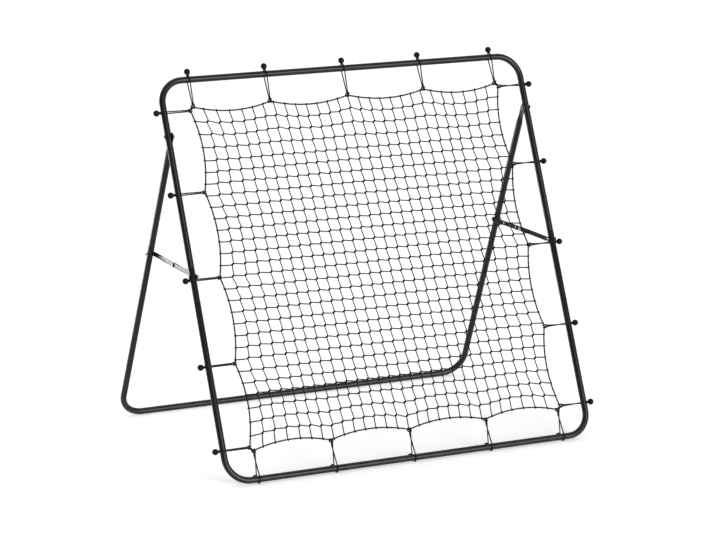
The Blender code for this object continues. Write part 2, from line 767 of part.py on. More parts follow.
def bungee_route(ball_angle, floor_angle=None):
    """One elastic loop in the plane square to the tube, whose axis is the origin.
    X points away from the net and Y to the front. The loop leaves the ball, passes
    in front of the tube, goes round the edge of the net and comes back behind it."""
    knot = NET_INSET
    pair = CORD_RADIUS + CORD_PAIR_GAP / 2
    clear = ROPE_DIAMETER / 2 + GAP + CORD_RADIUS
    beyond = knot + ROPE_DIAMETER / 2 + GAP + STRAND_DIAMETER + CORD_SLACK + CORD_RADIUS
    turn = CORD_RADIUS * 0.8
    wrap = WRAP_RADIUS / math.cos(WRAP_STEP / 2)
    to_net = math.pi - math.acos(WRAP_RADIUS / knot)
    from_ball = math.acos(WRAP_RADIUS / (BALL_REACH - BALL_RADIUS * 0.5))
    ball = Vector((math.cos(ball_angle), math.sin(ball_angle))) * BALL_REACH
    towards = -ball.normalized()
    aside = Vector((-towards.y, towards.x))
    neck = BALL_RADIUS * 0.97

    def beside_ball(sign):
        start = ball - aside * (sign * pair)
        return [start, start + towards * neck]

    if floor_angle is None:
        front_turns = spread(ball_angle + from_ball, to_net, WRAP_STEP)
        rear_turns = spread(-to_net, ball_angle - from_ball, WRAP_STEP)
    else:
        half_chord = WRAP_STEP / 2
        front_turns = spread(ball_angle + from_ball, floor_angle - half_chord, WRAP_STEP)
        front_turns += spread(floor_angle + half_chord, to_net, WRAP_STEP)
        rear_turns = []
    route = beside_ball(1)
    route += [Vector((math.cos(a), math.sin(a))) * wrap for a in front_turns]
    route += [
        Vector((turn - beyond, clear)),
        Vector((-beyond, clear - turn)),
        Vector((-beyond, turn - clear)),
        Vector((turn - beyond, -clear)),
    ]
    route += [Vector((math.cos(a), math.sin(a))) * wrap for a in rear_turns]
    route += reversed(beside_ball(-1))
    return ball, [(place.x, place.y, 0.0) for place in route]


def bungee_mesh(name, ball_angle, floor_angle=None):
    """The ball and its cord, joined where the cord enters the ball."""
    ball, route = bungee_route(ball_angle, floor_angle)
    cord_mesh = swept_mesh(f"{name}_cord", route, [CORD_RADIUS] * len(route), CORD_SIDES)
    ball_mesh = bpy.data.meshes.new(f"{name}_ball")
    body = bmesh.new()
    place = Matrix.Translation((ball.x, ball.y, 0.0)) @ BALL_TURN.to_matrix().to_4x4()
    bmesh.ops.create_icosphere(body, subdivisions=2, radius=BALL_RADIUS, matrix=place)
    body.to_mesh(ball_mesh)
    body.free()
    whole = add_object(name, ball_mesh, CORD)
    cord = as_cutter(add_object(f"{name}_cord", cord_mesh, None, None, CUTTERS))
    join = whole.modifiers.new("cord", "BOOLEAN")
    join.operation = "UNION"
    join.object = cord
    graph = bpy.context.evaluated_depsgraph_get()
    mesh = bpy.data.meshes.new_from_object(whole.evaluated_get(graph))
    bpy.data.objects.remove(whole, do_unlink=True)
    bpy.data.objects.remove(cord, do_unlink=True)
    smooth(mesh, 60.0)
    return mesh


def press_on_floor(made):
    """Flattens the underside of a cord that the ring stands on."""
    bpy.context.view_layer.update()
    to_world = made.matrix_world
    to_local = to_world.inverted()
    for vertex in made.data.vertices:
        place = to_world @ vertex.co
        if place.z < 0.0:
            place.z = 0.0
            vertex.co = to_local @ place


def make_bungees():
    """Five ties on each side of the ring. On the floor side the balls lie behind."""
    half_x, half_y = RING_WIDTH / 2, RING_HEIGHT / 2
    free_mesh = bungee_mesh("bungee", 0.0)
    floor_angle = -RING_LEAN
    ball_drop = RING_LIFT - BALL_RADIUS - BALL_FLOOR_GAP
    behind = -math.pi / 2 - RING_LEAN
    ball_angle = behind + math.asin(ball_drop / BALL_REACH)
    floor_mesh = bungee_mesh("bungee_low", ball_angle, floor_angle)
    rows = {
        "right": (half_x, None, 0),
        "top": (None, RING_HEIGHT, 1),
        "left": (-half_x, None, 2),
        "bottom": (None, 0.0, 3),
    }
    for row, (x, y, quarter) in rows.items():
        offsets = tie_offsets(half_y if y is None else half_x)
        for number, offset in enumerate(offsets, 1):
            place = (x, half_y + offset, 0.0) if y is None else (offset, y, 0.0)
            low = row == "bottom"
            mesh = floor_mesh.copy() if low else free_mesh
            bungee = add_object(f"bungee_{row}_{number}", mesh, CORD, RING_FRAME)
            bungee.location = place
            bungee.rotation_euler = Euler((math.pi / 2, 0.0, quarter * math.pi / 2))
            if low:
                press_on_floor(bungee)


start_empty()
PARTS = new_collection("soccer_rebound_net")
CUTTERS = new_collection("cutters")
CUTTERS.hide_render = True
PAINT = new_material("black_powder_coat", (0.022, 0.022, 0.024), 0.42, 0.0)
STEEL = new_material("black_zinc", (0.030, 0.030, 0.032), 0.35, 0.6)
TWINE = new_material("black_twine", (0.018, 0.018, 0.018), 0.85, 0.0)
CORD = new_material("black_bungee", (0.012, 0.012, 0.012), 0.55, 0.0)
RING_FRAME = new_frame("ring_frame", (0.0, RING_Y, RING_LIFT), math.pi / 2 - RING_LEAN)
REAR_FRAME = new_frame("rear_frame", (0.0, PIVOT_Y, PIVOT_Z), math.pi / 2 + REAR_LEAN)
make_ring()
make_rear_frame()
make_braces()
make_fasteners()
make_net()
make_bungees()
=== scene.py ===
"""Soccer rebound net on a folding tube frame. Metres, +Z up, front towards -Y.

The front ring and the rear frame are drawn flat, each in its own plane, and then
stood up at their lean. A piece ends up with its place in its mesh."""
import math
import random

import bmesh
import bpy
from mathutils import Matrix, Vector


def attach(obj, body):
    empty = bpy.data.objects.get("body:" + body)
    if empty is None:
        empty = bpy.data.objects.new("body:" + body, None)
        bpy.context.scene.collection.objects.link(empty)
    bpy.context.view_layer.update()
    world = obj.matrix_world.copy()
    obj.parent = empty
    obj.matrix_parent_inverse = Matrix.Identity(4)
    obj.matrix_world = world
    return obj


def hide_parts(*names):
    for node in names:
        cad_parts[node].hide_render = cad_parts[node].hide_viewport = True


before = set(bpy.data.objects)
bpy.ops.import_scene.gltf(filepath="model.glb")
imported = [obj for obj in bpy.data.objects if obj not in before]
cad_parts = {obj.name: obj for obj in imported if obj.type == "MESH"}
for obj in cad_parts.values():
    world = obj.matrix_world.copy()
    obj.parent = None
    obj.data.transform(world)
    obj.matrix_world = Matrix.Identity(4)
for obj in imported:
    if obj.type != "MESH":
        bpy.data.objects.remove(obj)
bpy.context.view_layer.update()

# Front ring and rear frame
RING_WIDTH = 1.181
RING_HEIGHT = 1.181
BEND_RADIUS = 0.070
TUBE_RADIUS = 0.0095
TUBE_WALL = 0.0012
TUBE_FACETS = 40
TUBE_RIM_EASE = 0.00025
BEND_STEPS = 14
RING_LEAN = math.radians(24.0)
REAR_LEAN = math.radians(24.0)
PIVOT_HEIGHT = 1.016
JOINT_HEIGHT = 0.600
REAR_WIDTH = 1.187
SPIGOT_LENGTH = 0.050
SPIGOT_RADIUS = 0.0080
SWAGE_LENGTH = 0.0015
FLAT_THICKNESS = 0.003
FLAT_WIDTH = 0.024
FLAT_LENGTH = 0.018
FLAT_TAPER = 0.038
FLAT_SQUARENESS = 0.35
FLAT_LAG = 1.2
FLAT_TIP_ANGLES = (20, 38, 54, 67, 77, 84)
LEG_RIM_EASE = 0.0003

# Brace bars, bolts and nuts
BAR_WIDTH = 0.014
BAR_THICKNESS = 0.002
BAR_END = 0.008
BAR_CLEARANCE = 0.0010
BAR_SEAT_LENGTH = 0.030
BAR_SET_END = 0.120
BAR_SET_STEPS = 20
BAR_FACETS = 32
BAR_EASE = 0.0004
BROAD_FACE_AREA = 0.0005
GROOVE_INSET = 0.0042
GROOVE_SLOPE = 0.0006
GROOVE_DEPTH = 0.00035
ADJUSTING_HOLES = 3
ADJUSTING_PITCH = 0.035
ADJUSTING_HOLE_RADIUS = 0.00325
SHANK_RADIUS = 0.003
SHANK_PROUD = 0.0015
HOLE_RADIUS = 0.0033
HOLE_FACETS = 24
DRILL_DEPTH = 0.04
TIP_EASE = 0.0003
THREAD_STEP = 0.0002
THREAD_CORE = 0.87
STUB_CREST = 0.98
MOST_THREADS = 10
PLAIN_SHANK = 0.001
HEAD_RADIUS = 0.0055
HEAD_HEIGHT = 0.0032
HEAD_EASE = 0.00025
HEAD_RIM = HEAD_HEIGHT * 0.25
HEAD_FULLNESS = 0.62
NUT_ACROSS_FLATS = 0.010
NUT_HEIGHT = 0.005
NUT_CHAMFER = NUT_HEIGHT * 0.16
NUT_BORE_GAP = 0.0001
TURNED_FACETS = 28
ENVELOPE_FACETS = 48

# Net, rope and ball bungees
NET_INSET = 0.083
NET_GAPS = 28
EDGE_GAPS = 4
EDGE_GAP_RATIO = 1.165
STRAND_RADIUS = 0.0019
JOIN_ACROSS = 0.0027
JOIN_UP = 0.0023
JOIN_ASIDE = 0.0009
JOIN_LIFT = 0.0013
UNEVENNESS = (0.0006, 0.0006, 0.0008)
ROPE_RADIUS = 0.0023
ROPE_LAY = 0.012
PLY_RADIUS = ROPE_RADIUS * 0.62
PLY_OFFSET = ROPE_RADIUS * 0.55
END_LOOP_RADIUS = ROPE_RADIUS * 0.70 + STRAND_RADIUS * 0.55
SCALLOP_DEPTH = 0.018
SCALLOP_FADE = 0.190
SCALLOP_FADE_POWER = 1.3
CORNER_CUT = 0.002
CORNER_TIE_INSET = 0.093
INNER_TIE_OFFSET = 0.253
CORD_RADIUS = 0.0019
CORD_PAIR_OFFSET = CORD_RADIUS * 1.02
CORD_TURN_STEP = math.radians(14.0)
BALL_RADIUS = 0.0092
BALL_REACH = 0.024
NECK_STEP = 0.0014
NECK_WIDENINGS = ((1.10, 1.0, 1.0), (1.20, 1.02, 1.0), (1.22, 1.03, 1.0))
NECK_LIP = 0.0005
NECK_RECESS = 0.0020
GAP = 0.0003

# Where the CAD stands the frames, on its own thinner cords and facetted tube
CAD_CORD_RADIUS = 0.0015
CAD_LOOP_FACET = math.radians(35.0)
CAD_TUBE_SIDES = 12
CAD_WRAP = (TUBE_RADIUS + GAP + CAD_CORD_RADIUS) / math.cos(CAD_LOOP_FACET / 2)
RING_LIFT = 0.0125
REAR_LIFT = TUBE_RADIUS * math.cos(math.pi / CAD_TUBE_SIDES)
PIVOT_Z = RING_LIFT + PIVOT_HEIGHT * math.cos(RING_LEAN)
LEG_LENGTH = (PIVOT_Z - REAR_LIFT) / math.cos(REAR_LEAN)
BRACE_DROP = PIVOT_HEIGHT - JOINT_HEIGHT
WRAP_RADIUS = TUBE_RADIUS + GAP + CORD_RADIUS
STAND_DEPTH = PIVOT_HEIGHT * math.sin(RING_LEAN) + LEG_LENGTH * math.sin(REAR_LEAN)
RING_Y = (CAD_WRAP + CAD_CORD_RADIUS - TUBE_RADIUS - STAND_DEPTH) / 2
PIVOT_Y = RING_Y + PIVOT_HEIGHT * math.sin(RING_LEAN)
RING_INNER_WALL = RING_WIDTH / 2 - TUBE_RADIUS
FRONT_BAR_X = RING_INNER_WALL - GAP - BAR_THICKNESS / 2
REAR_BAR_X = FRONT_BAR_X - BAR_THICKNESS - GAP
FLAT_X = RING_INNER_WALL - GAP - FLAT_THICKNESS / 2
REAR_FLARE = (REAR_WIDTH / 2 - FLAT_X) / (LEG_LENGTH - FLAT_LENGTH)
LEG_JOINT_X = FLAT_X + REAR_FLARE * (BRACE_DROP - FLAT_LENGTH)
BAR_SEAT_X = LEG_JOINT_X - TUBE_RADIUS - BAR_CLEARANCE - BAR_THICKNESS / 2
MOUTH = JOINT_HEIGHT + SPIGOT_LENGTH / 2
LEG_MOUTH = BRACE_DROP - SPIGOT_LENGTH / 2

RING_PLANE = (Matrix.Translation((0.0, RING_Y, RING_LIFT))
              @ Matrix.Rotation(math.pi / 2 - RING_LEAN, 4, "X"))
REAR_PLANE = (Matrix.Translation((0.0, PIVOT_Y, PIVOT_Z))
              @ Matrix.Rotation(math.pi / 2 + REAR_LEAN, 4, "X"))
SIDES = {"left": -1, "right": 1}

# Camera, fitted to the photograph, and studio
CAMERA_AZIMUTH = -26.006
CAMERA_ELEVATION = 12.78
CAMERA_DISTANCE = 7.9112
CAMERA_TARGET = Vector((-0.33041, -0.71366, 0.66717))
PHOTO_WIDTH_PIXELS = 716.0
FOCAL_PIXELS = 2900.70
SENSOR_WIDTH = 36.0
CAMERA_LENS = FOCAL_PIXELS / PHOTO_WIDTH_PIXELS * SENSOR_WIDTH
FLOOR_SIZE = 400.0
FLOOR_GLOW = 0.28
WORLD_GLOW = 0.30


# Working by hand: selecting, starting and finishing a piece

def nothing_selected():
    bpy.ops.object.select_all(action="DESELECT")


def pick(piece):
    """Makes this the only selected object and the active one."""
    nothing_selected()
    piece.select_set(True)
    bpy.context.view_layer.objects.active = piece


def edit(piece):
    pick(piece)
    bpy.ops.object.mode_set(mode="EDIT")
    bpy.context.tool_settings.mesh_select_mode = (True, False, False)


def leave_edit():
    bpy.ops.object.mode_set(mode="OBJECT")


def fix_place():
    bpy.ops.object.transform_apply(location=True, rotation=True, scale=True)


def select_where(piece, test):
    """In edit mode, selects the vertices that pass the test, and what they bound."""
    bpy.ops.mesh.select_all(action="DESELECT")
    shape = bmesh.from_edit_mesh(piece.data)
    for vertex in shape.verts:
        vertex.select = test(vertex.co)
    shape.select_flush(True)
    bmesh.update_edit_mesh(piece.data)


def select_faces(piece, test):
    """In edit mode, selects the faces that pass the test."""
    bpy.ops.mesh.select_all(action="DESELECT")
    bpy.context.tool_settings.mesh_select_mode = (False, False, True)
    shape = bmesh.from_edit_mesh(piece.data)
    for face in shape.faces:
        face.select = test(face)
    shape.select_flush(True)
    bmesh.update_edit_mesh(piece.data)


def select_sharp_edges(piece, degrees):
    bpy.ops.mesh.select_all(action="DESELECT")
    bpy.context.tool_settings.mesh_select_mode = (False, True, False)
    shape = bmesh.from_edit_mesh(piece.data)
    for edge in shape.edges:
        edge.select = edge.is_manifold and edge.calc_face_angle(0.0) > math.radians(degrees)
    shape.select_flush(False)
    bmesh.update_edit_mesh(piece.data)


def extrude(step):
    bpy.ops.mesh.extrude_region_move(TRANSFORM_OT_translate={"value": tuple(step)})


def widen(factors, centre):
    bpy.ops.transform.resize(value=factors, center_override=tuple(centre))


def tidy_mesh():
    """Merges doubles and turns every face outwards, in edit mode."""
    bpy.ops.mesh.select_all(action="SELECT")
    bpy.ops.mesh.remove_doubles(threshold=0.00001)
    bpy.ops.mesh.normals_make_consistent(inside=False)


def smooth(piece, degrees=32.0):
    pick(piece)
    bpy.ops.object.shade_smooth_by_angle(angle=math.radians(degrees))


def apply_modifier(piece, modifier):
    pick(piece)
    bpy.ops.object.modifier_apply(modifier=modifier.name)


def combine(piece, other, operation="DIFFERENCE"):
    """Cuts the other piece out of this one, or keeps what both share, and deletes it."""
    modifier = piece.modifiers.new("combine", "BOOLEAN")
    modifier.operation = operation
    modifier.solver = "EXACT"
    modifier.object = other
    apply_modifier(piece, modifier)
    bpy.data.objects.remove(other, do_unlink=True)


def ease_rims(piece, width):
    """Rounds the sharp rims of a tube."""
    rims = piece.modifiers.new("rims", "BEVEL")
    rims.width = width
    rims.segments = 2
    rims.limit_method = "ANGLE"
    rims.angle_limit = math.radians(60.0)
    apply_modifier(piece, rims)


def drill(piece, place, radius=HOLE_RADIUS, depth=DRILL_DEPTH, along="X"):
    """Bores a round hole through a piece, along X or Z."""
    nothing_selected()
    turn = (0.0, math.pi / 2, 0.0) if along == "X" else (0.0, 0.0, 0.0)
    bpy.ops.mesh.primitive_cylinder_add(
        vertices=HOLE_FACETS, radius=radius, depth=depth, location=place, rotation=turn
    )
    combine(piece, bpy.context.object)


def set_in_place(piece, matrix):
    """Moves a piece that was drawn flat to its real place, in its mesh."""
    piece.data.transform(matrix)
    if matrix.determinant() < 0.0:
        piece.data.flip_normals()
    piece.data.update()


def copy_piece(piece, name):
    twin = piece.copy()
    twin.data = piece.data.copy()
    twin.name = name
    twin.data.name = name
    bpy.context.scene.collection.objects.link(twin)
    return twin


def dress(piece, name, body, material, slot, *nodes):
    """Names a finished piece, gives it its finish and ties it to the CAD."""
    piece.name = name
    piece.data.name = name
    piece.data.materials.clear()
    piece.data.materials.append(material)
    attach(piece, body)
    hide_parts(*nodes)


# Tubes

def start_tube(place, direction, radius):
    """Opens a tube as one round edge square to its direction, ready to be extruded."""
    nothing_selected()
    bpy.ops.mesh.primitive_circle_add(
        vertices=TUBE_FACETS,
        radius=radius,
        fill_type="NOTHING",
        location=place,
        rotation=Vector(direction).to_track_quat("Z", "Y").to_euler(),
    )
    fix_place()
    bpy.ops.object.mode_set(mode="EDIT")
    bpy.context.tool_settings.mesh_select_mode = (True, False, False)
    bpy.ops.mesh.select_all(action="SELECT")
    return bpy.context.object


def bend(centre, angle):
    """Carries the open end of a tube round a bend in the XY plane, anticlockwise."""
    bpy.ops.mesh.spin(steps=BEND_STEPS, angle=abs(angle), center=tuple(centre),
                      axis=(0.0, 0.0, -math.copysign(1.0, angle)))


def give_wall(tube):
    """Turns the open skin of a tube into a tube with a wall and eased rims."""
    tidy_mesh()
    leave_edit()
    wall = tube.modifiers.new("wall", "SOLIDIFY")
    wall.thickness = TUBE_WALL
    wall.offset = -1.0
    wall.use_rim = True
    apply_modifier(tube, wall)
    ease_rims(tube, TUBE_RIM_EASE)


def bent_tube(half_mouth, half_base, mouth, base, spigot):
    """A U of tube in the XY plane from its left mouth round to its right mouth."""
    up = 1.0 if mouth > base else -1.0
    flare = math.atan2(half_base - half_mouth, abs(mouth - base))
    down = Vector((-math.sin(flare), -up * math.cos(flare), 0.0))
    left_mouth = Vector((-half_mouth, mouth, 0.0))
    reach = half_base - BEND_RADIUS * (1.0 + math.sin(flare)) / math.cos(flare)
    left_bend = Vector((-reach, base + up * BEND_RADIUS, 0.0))
    right_bend = Vector((reach, base + up * BEND_RADIUS, 0.0))
    run = (left_bend - left_mouth).dot(down)
    turn = up * (math.pi / 2 + flare)
    back = Vector((down.x, -down.y, 0.0))
    if spigot:
        tube = start_tube(left_mouth - down * SPIGOT_LENGTH, down, SPIGOT_RADIUS)
        extrude(down * (SPIGOT_LENGTH + GAP))
        extrude(down * SWAGE_LENGTH)
        grow = TUBE_RADIUS / SPIGOT_RADIUS
        widen((grow, grow, grow), left_mouth + down * (GAP + SWAGE_LENGTH))
        run -= GAP + SWAGE_LENGTH
    else:
        tube = start_tube(left_mouth, down, TUBE_RADIUS)
    extrude(down * run)
    bend(left_bend, turn)
    extrude((2.0 * reach, 0.0, 0.0))
    bend(right_bend, turn)
    extrude(back * run)
    if spigot:
        shrink = SPIGOT_RADIUS / TUBE_RADIUS
        right_mouth = Vector((half_mouth, mouth, 0.0))
        extrude(back * SWAGE_LENGTH)
        widen((shrink, shrink, shrink), right_mouth - back * GAP)
        extrude(back * (SPIGOT_LENGTH + GAP))
    give_wall(tube)
    return tube


def make_ring():
    half = RING_WIDTH / 2
    upper = bent_tube(half, half, MOUTH, RING_HEIGHT, True)
    lower = bent_tube(half, half, MOUTH, 0.0, False)
    for sign in SIDES.values():
        drill(upper, (sign * half, PIVOT_HEIGHT, 0.0))
        for tube in (upper, lower):
            drill(tube, (sign * half, JOINT_HEIGHT, 0.0))
    for tube, name in ((upper, "ring_upper"), (lower, "ring_lower")):
        smooth(tube)
        set_in_place(tube, RING_PLANE)
        dress(tube, f"{name}_tube", "ring", POWDER_COAT, "powder_coat", name)


def leg_axis(down):
    return FLAT_X + REAR_FLARE * max(down - FLAT_LENGTH, 0.0)


def ease(share):
    share = min(max(share, 0.0), 1.0)
    return share * share * (3.0 - 2.0 * share)


def follow_leg(here, stations, factor):
    """Draws a tube out along a leg's axis. It changes its width at the second station."""
    for number, down in enumerate(stations):
        there = Vector((leg_axis(down), -down, 0.0))
        extrude(there - here)
        if number == 1:
            widen((factor, 1.0, factor), there)
        here = there


def make_leg(side, sign):
    """A rear leg from its swaged lower end up to its flattened, rounded top.
    It is drawn as a round tube, and its end is then pressed flat."""
    stations = [LEG_MOUTH - GAP, LEG_MOUTH - GAP - SWAGE_LENGTH]
    stations += [FLAT_LENGTH + FLAT_TAPER * i / 12 for i in range(12, -1, -1)]
    stations += [FLAT_LENGTH * i / 3 for i in (2, 1, 0)]
    stations += [-FLAT_WIDTH / 2 * math.sin(math.radians(a)) for a in FLAT_TIP_ANGLES]
    lowest = Vector((leg_axis(LEG_MOUTH + SPIGOT_LENGTH), -LEG_MOUTH - SPIGOT_LENGTH, 0.0))
    leg = start_tube(lowest, (0.0, 1.0, 0.0), SPIGOT_RADIUS)
    follow_leg(lowest, stations, TUBE_RADIUS / SPIGOT_RADIUS)
    bpy.ops.mesh.edge_face_add()
    press_end(leg)
    tidy_mesh()
    leave_edit()
    bore_leg(leg)
    drill(leg, (FLAT_X, 0.0, 0.0), depth=4.0 * FLAT_THICKNESS)
    drill(leg, (LEG_JOINT_X, -BRACE_DROP, 0.0))
    ease_rims(leg, LEG_RIM_EASE)
    smooth(leg)
    set_in_place(leg, REAR_PLANE @ Matrix.Diagonal((sign, 1.0, 1.0, 1.0)))
    dress(leg, f"rear_leg_tube_{side}", "rear_frame", POWDER_COAT, "powder_coat",
          f"rear_leg_{side}")


def press_end(leg):
    """Presses the upper end of a leg between flat dies, eased into the round tube."""
    shape = bmesh.from_edit_mesh(leg.data)
    for vertex in shape.verts:
        down = -vertex.co.y
        if down > FLAT_LENGTH + FLAT_TAPER:
            continue
        share = ease((down - FLAT_LENGTH) / FLAT_TAPER)
        axis = leg_axis(down)
        across = (vertex.co.x - axis) / TUBE_RADIUS
        along = vertex.co.z / TUBE_RADIUS
        half_width = FLAT_WIDTH / 2
        if down < 0.0:
            half_width = math.sqrt(max(half_width**2 - down**2, 0.0))
        square = math.copysign(abs(across) ** FLAT_SQUARENESS, across)
        flat = Vector((axis + square * FLAT_THICKNESS / 2, -down, along * half_width))
        thin = flat.lerp(vertex.co, share**FLAT_LAG)
        vertex.co = flat.lerp(vertex.co, share)
        vertex.co.x = thin.x
    bmesh.update_edit_mesh(leg.data)


def bore_leg(leg):
    """The bore of a leg, from its open lower end up to where the pressing starts. That
    end is an open edge, so Blender's exact boolean bores the leg in some runs and leaves
    it whole in others. The bore is out of sight: its mouth is inside the base tube."""
    top = FLAT_LENGTH + FLAT_TAPER + TUBE_RADIUS
    start = Vector((leg_axis(top), -top, 0.0))
    cutter = start_tube(start, (0.0, -1.0, 0.0), TUBE_RADIUS - TUBE_WALL)
    past_end = LEG_MOUTH + SPIGOT_LENGTH + 0.001
    follow_leg(start, (LEG_MOUTH - GAP - SWAGE_LENGTH, LEG_MOUTH - GAP, past_end),
               (SPIGOT_RADIUS - TUBE_WALL) / (TUBE_RADIUS - TUBE_WALL))
    bpy.ops.mesh.select_all(action="SELECT")
    bpy.context.tool_settings.mesh_select_mode = (False, True, False)
    bpy.ops.mesh.select_non_manifold()
    bpy.ops.mesh.fill_holes(sides=0)
    tidy_mesh()
    leave_edit()
    combine(leg, cutter)


def make_rear_frame():
    base = bent_tube(leg_axis(LEG_MOUTH), REAR_WIDTH / 2, -LEG_MOUTH, -LEG_LENGTH, False)
    for side, sign in SIDES.items():
        make_leg(side, sign)
        drill(base, (sign * LEG_JOINT_X, -BRACE_DROP, 0.0))
    smooth(base)
    set_in_place(base, REAR_PLANE)
    dress(base, "rear_base_tube", "rear_frame", POWDER_COAT, "powder_coat", "rear_base")


# Brace bars

def brace_points():
    ring_end = RING_PLANE @ Vector((0.0, JOINT_HEIGHT, 0.0))
    leg_end = REAR_PLANE @ Vector((0.0, -BRACE_DROP, 0.0))
    return ring_end, leg_end


def strip(start, end):
    """A flat bar along X with half-round ends, eased edges and a pressed groove."""
    half = BAR_WIDTH / 2
    nothing_selected()
    bpy.ops.mesh.primitive_circle_add(
        vertices=BAR_FACETS, radius=half, fill_type="NGON",
        location=(start + half, 0.0, -BAR_THICKNESS / 2),
        rotation=(0.0, 0.0, math.pi / BAR_FACETS),
    )
    bar = bpy.context.object
    fix_place()
    edit(bar)
    select_where(bar, lambda place: place.x > start + half)
    bpy.ops.transform.translate(value=(end - start - 2.0 * half, 0.0, 0.0))
    bpy.ops.mesh.select_all(action="SELECT")
    extrude((0.0, 0.0, BAR_THICKNESS))
    tidy_mesh()
    select_sharp_edges(bar, 60.0)
    bpy.ops.mesh.bevel(offset=BAR_EASE, segments=2, affect="EDGES")
    for side in (-1.0, 1.0):
        select_faces(bar, lambda face: face.normal.z * side > 0.9
                     and face.calc_area() > BROAD_FACE_AREA)
        bpy.ops.mesh.inset(thickness=GROOVE_INSET)
        bpy.ops.mesh.inset(thickness=GROOVE_SLOPE, depth=-GROOVE_DEPTH)
    leave_edit()
    return bar


def joggle(bar, offset):
    """Sets a bar over sideways, in an S, between its seat and the middle bolt."""
    edit(bar)
    run = BAR_SET_END - BAR_SEAT_LENGTH
    for number in range(BAR_SET_STEPS + 1):
        bpy.ops.mesh.select_all(action="SELECT")
        station = BAR_SEAT_LENGTH + run * number / BAR_SET_STEPS
        bpy.ops.mesh.bisect(plane_co=(station, 0.0, 0.0), plane_no=(1.0, 0.0, 0.0))
    shape = bmesh.from_edit_mesh(bar.data)
    for vertex in shape.verts:
        vertex.co.z += offset * (1.0 - ease((vertex.co.x - BAR_SEAT_LENGTH) / run))
    bmesh.update_edit_mesh(bar.data)
    leave_edit()


def finish_bar(bar, which, side, x, place, turn):
    """Stands a bar drawn along X in the plane of the braces and dresses it."""
    smooth(bar, 25.0)
    lay_across = Matrix.Rotation(math.pi / 2, 4, "Z") @ Matrix.Rotation(math.pi / 2, 4, "X")
    stand = Matrix.Translation((x, place.y, place.z)) @ Matrix.Rotation(turn, 4, "X")
    set_in_place(bar, stand @ lay_across)
    dress(bar, f"{which}_brace_bar_{side}", f"{which}_brace_{side}", BAR_COAT, "powder_coat",
          f"{which}_bar_{side}")


def make_braces():
    ring_end, leg_end = brace_points()
    span = leg_end - ring_end
    half_span = span.length / 2
    turn = math.atan2(span.z, span.y)
    for side, sign in SIDES.items():
        front = strip(-BAR_END, half_span + BAR_END)
        for place in (0.0, half_span):
            drill(front, (place, 0.0, 0.0), along="Z")
        finish_bar(front, "front", side, sign * FRONT_BAR_X, ring_end, turn)
        rear = strip(-BAR_END, half_span + ADJUSTING_PITCH + BAR_END)
        drill(rear, (0.0, 0.0, 0.0), along="Z")
        for number in range(-ADJUSTING_HOLES, 2):
            radius = ADJUSTING_HOLE_RADIUS if number else HOLE_RADIUS
            drill(rear, (half_span + ADJUSTING_PITCH * number, 0.0, 0.0), radius, along="Z")
        joggle(rear, sign * (BAR_SEAT_X - REAR_BAR_X))
        finish_bar(rear, "rear", side, sign * REAR_BAR_X, leg_end, turn + math.pi)


# Bolts and nuts

def turned(profile):
    """A solid turned about Z, from the height and radius of its edges, bottom to top."""
    height, radius = profile[0]
    nothing_selected()
    bpy.ops.mesh.primitive_circle_add(vertices=TURNED_FACETS, radius=radius, fill_type="NGON",
                                      location=(0.0, 0.0, height))
    piece = bpy.context.object
    fix_place()
    edit(piece)
    bpy.ops.mesh.select_all(action="SELECT")
    for next_height, next_radius in profile[1:]:
        extrude((0.0, 0.0, next_height - height))
        factor = next_radius / radius
        widen((factor, factor, 1.0), (0.0, 0.0, next_height))
        height, radius = next_height, next_radius
    tidy_mesh()
    leave_edit()
    smooth(piece, 40.0)
    return piece


def bolt(grip):
    """A domed bolt up Z: its head stands on Z 0 and its threaded end hangs down."""
    height = TIP_EASE - grip
    profile = [(-grip, SHANK_RADIUS * 0.80), (height, SHANK_RADIUS * 0.90)]
    threads = min(int((grip - PLAIN_SHANK) / (4 * THREAD_STEP)), MOST_THREADS)
    for share in (1.0, 1.0, THREAD_CORE, THREAD_CORE) * threads:
        height += THREAD_STEP
        profile.append((height, SHANK_RADIUS * share))
    dome = HEAD_EASE + HEAD_RIM
    profile += [(height + THREAD_STEP, SHANK_RADIUS), (0.0, SHANK_RADIUS),
                (0.0, HEAD_RADIUS * 0.97), (HEAD_EASE, HEAD_RADIUS), (dome, HEAD_RADIUS)]
    for degrees in range(10, 90, 10):
        angle = math.radians(degrees)
        profile.append((dome + (HEAD_HEIGHT - dome) * math.sin(angle) ** HEAD_FULLNESS,
                        HEAD_RADIUS * math.cos(angle) ** HEAD_FULLNESS))
    return turned(profile)


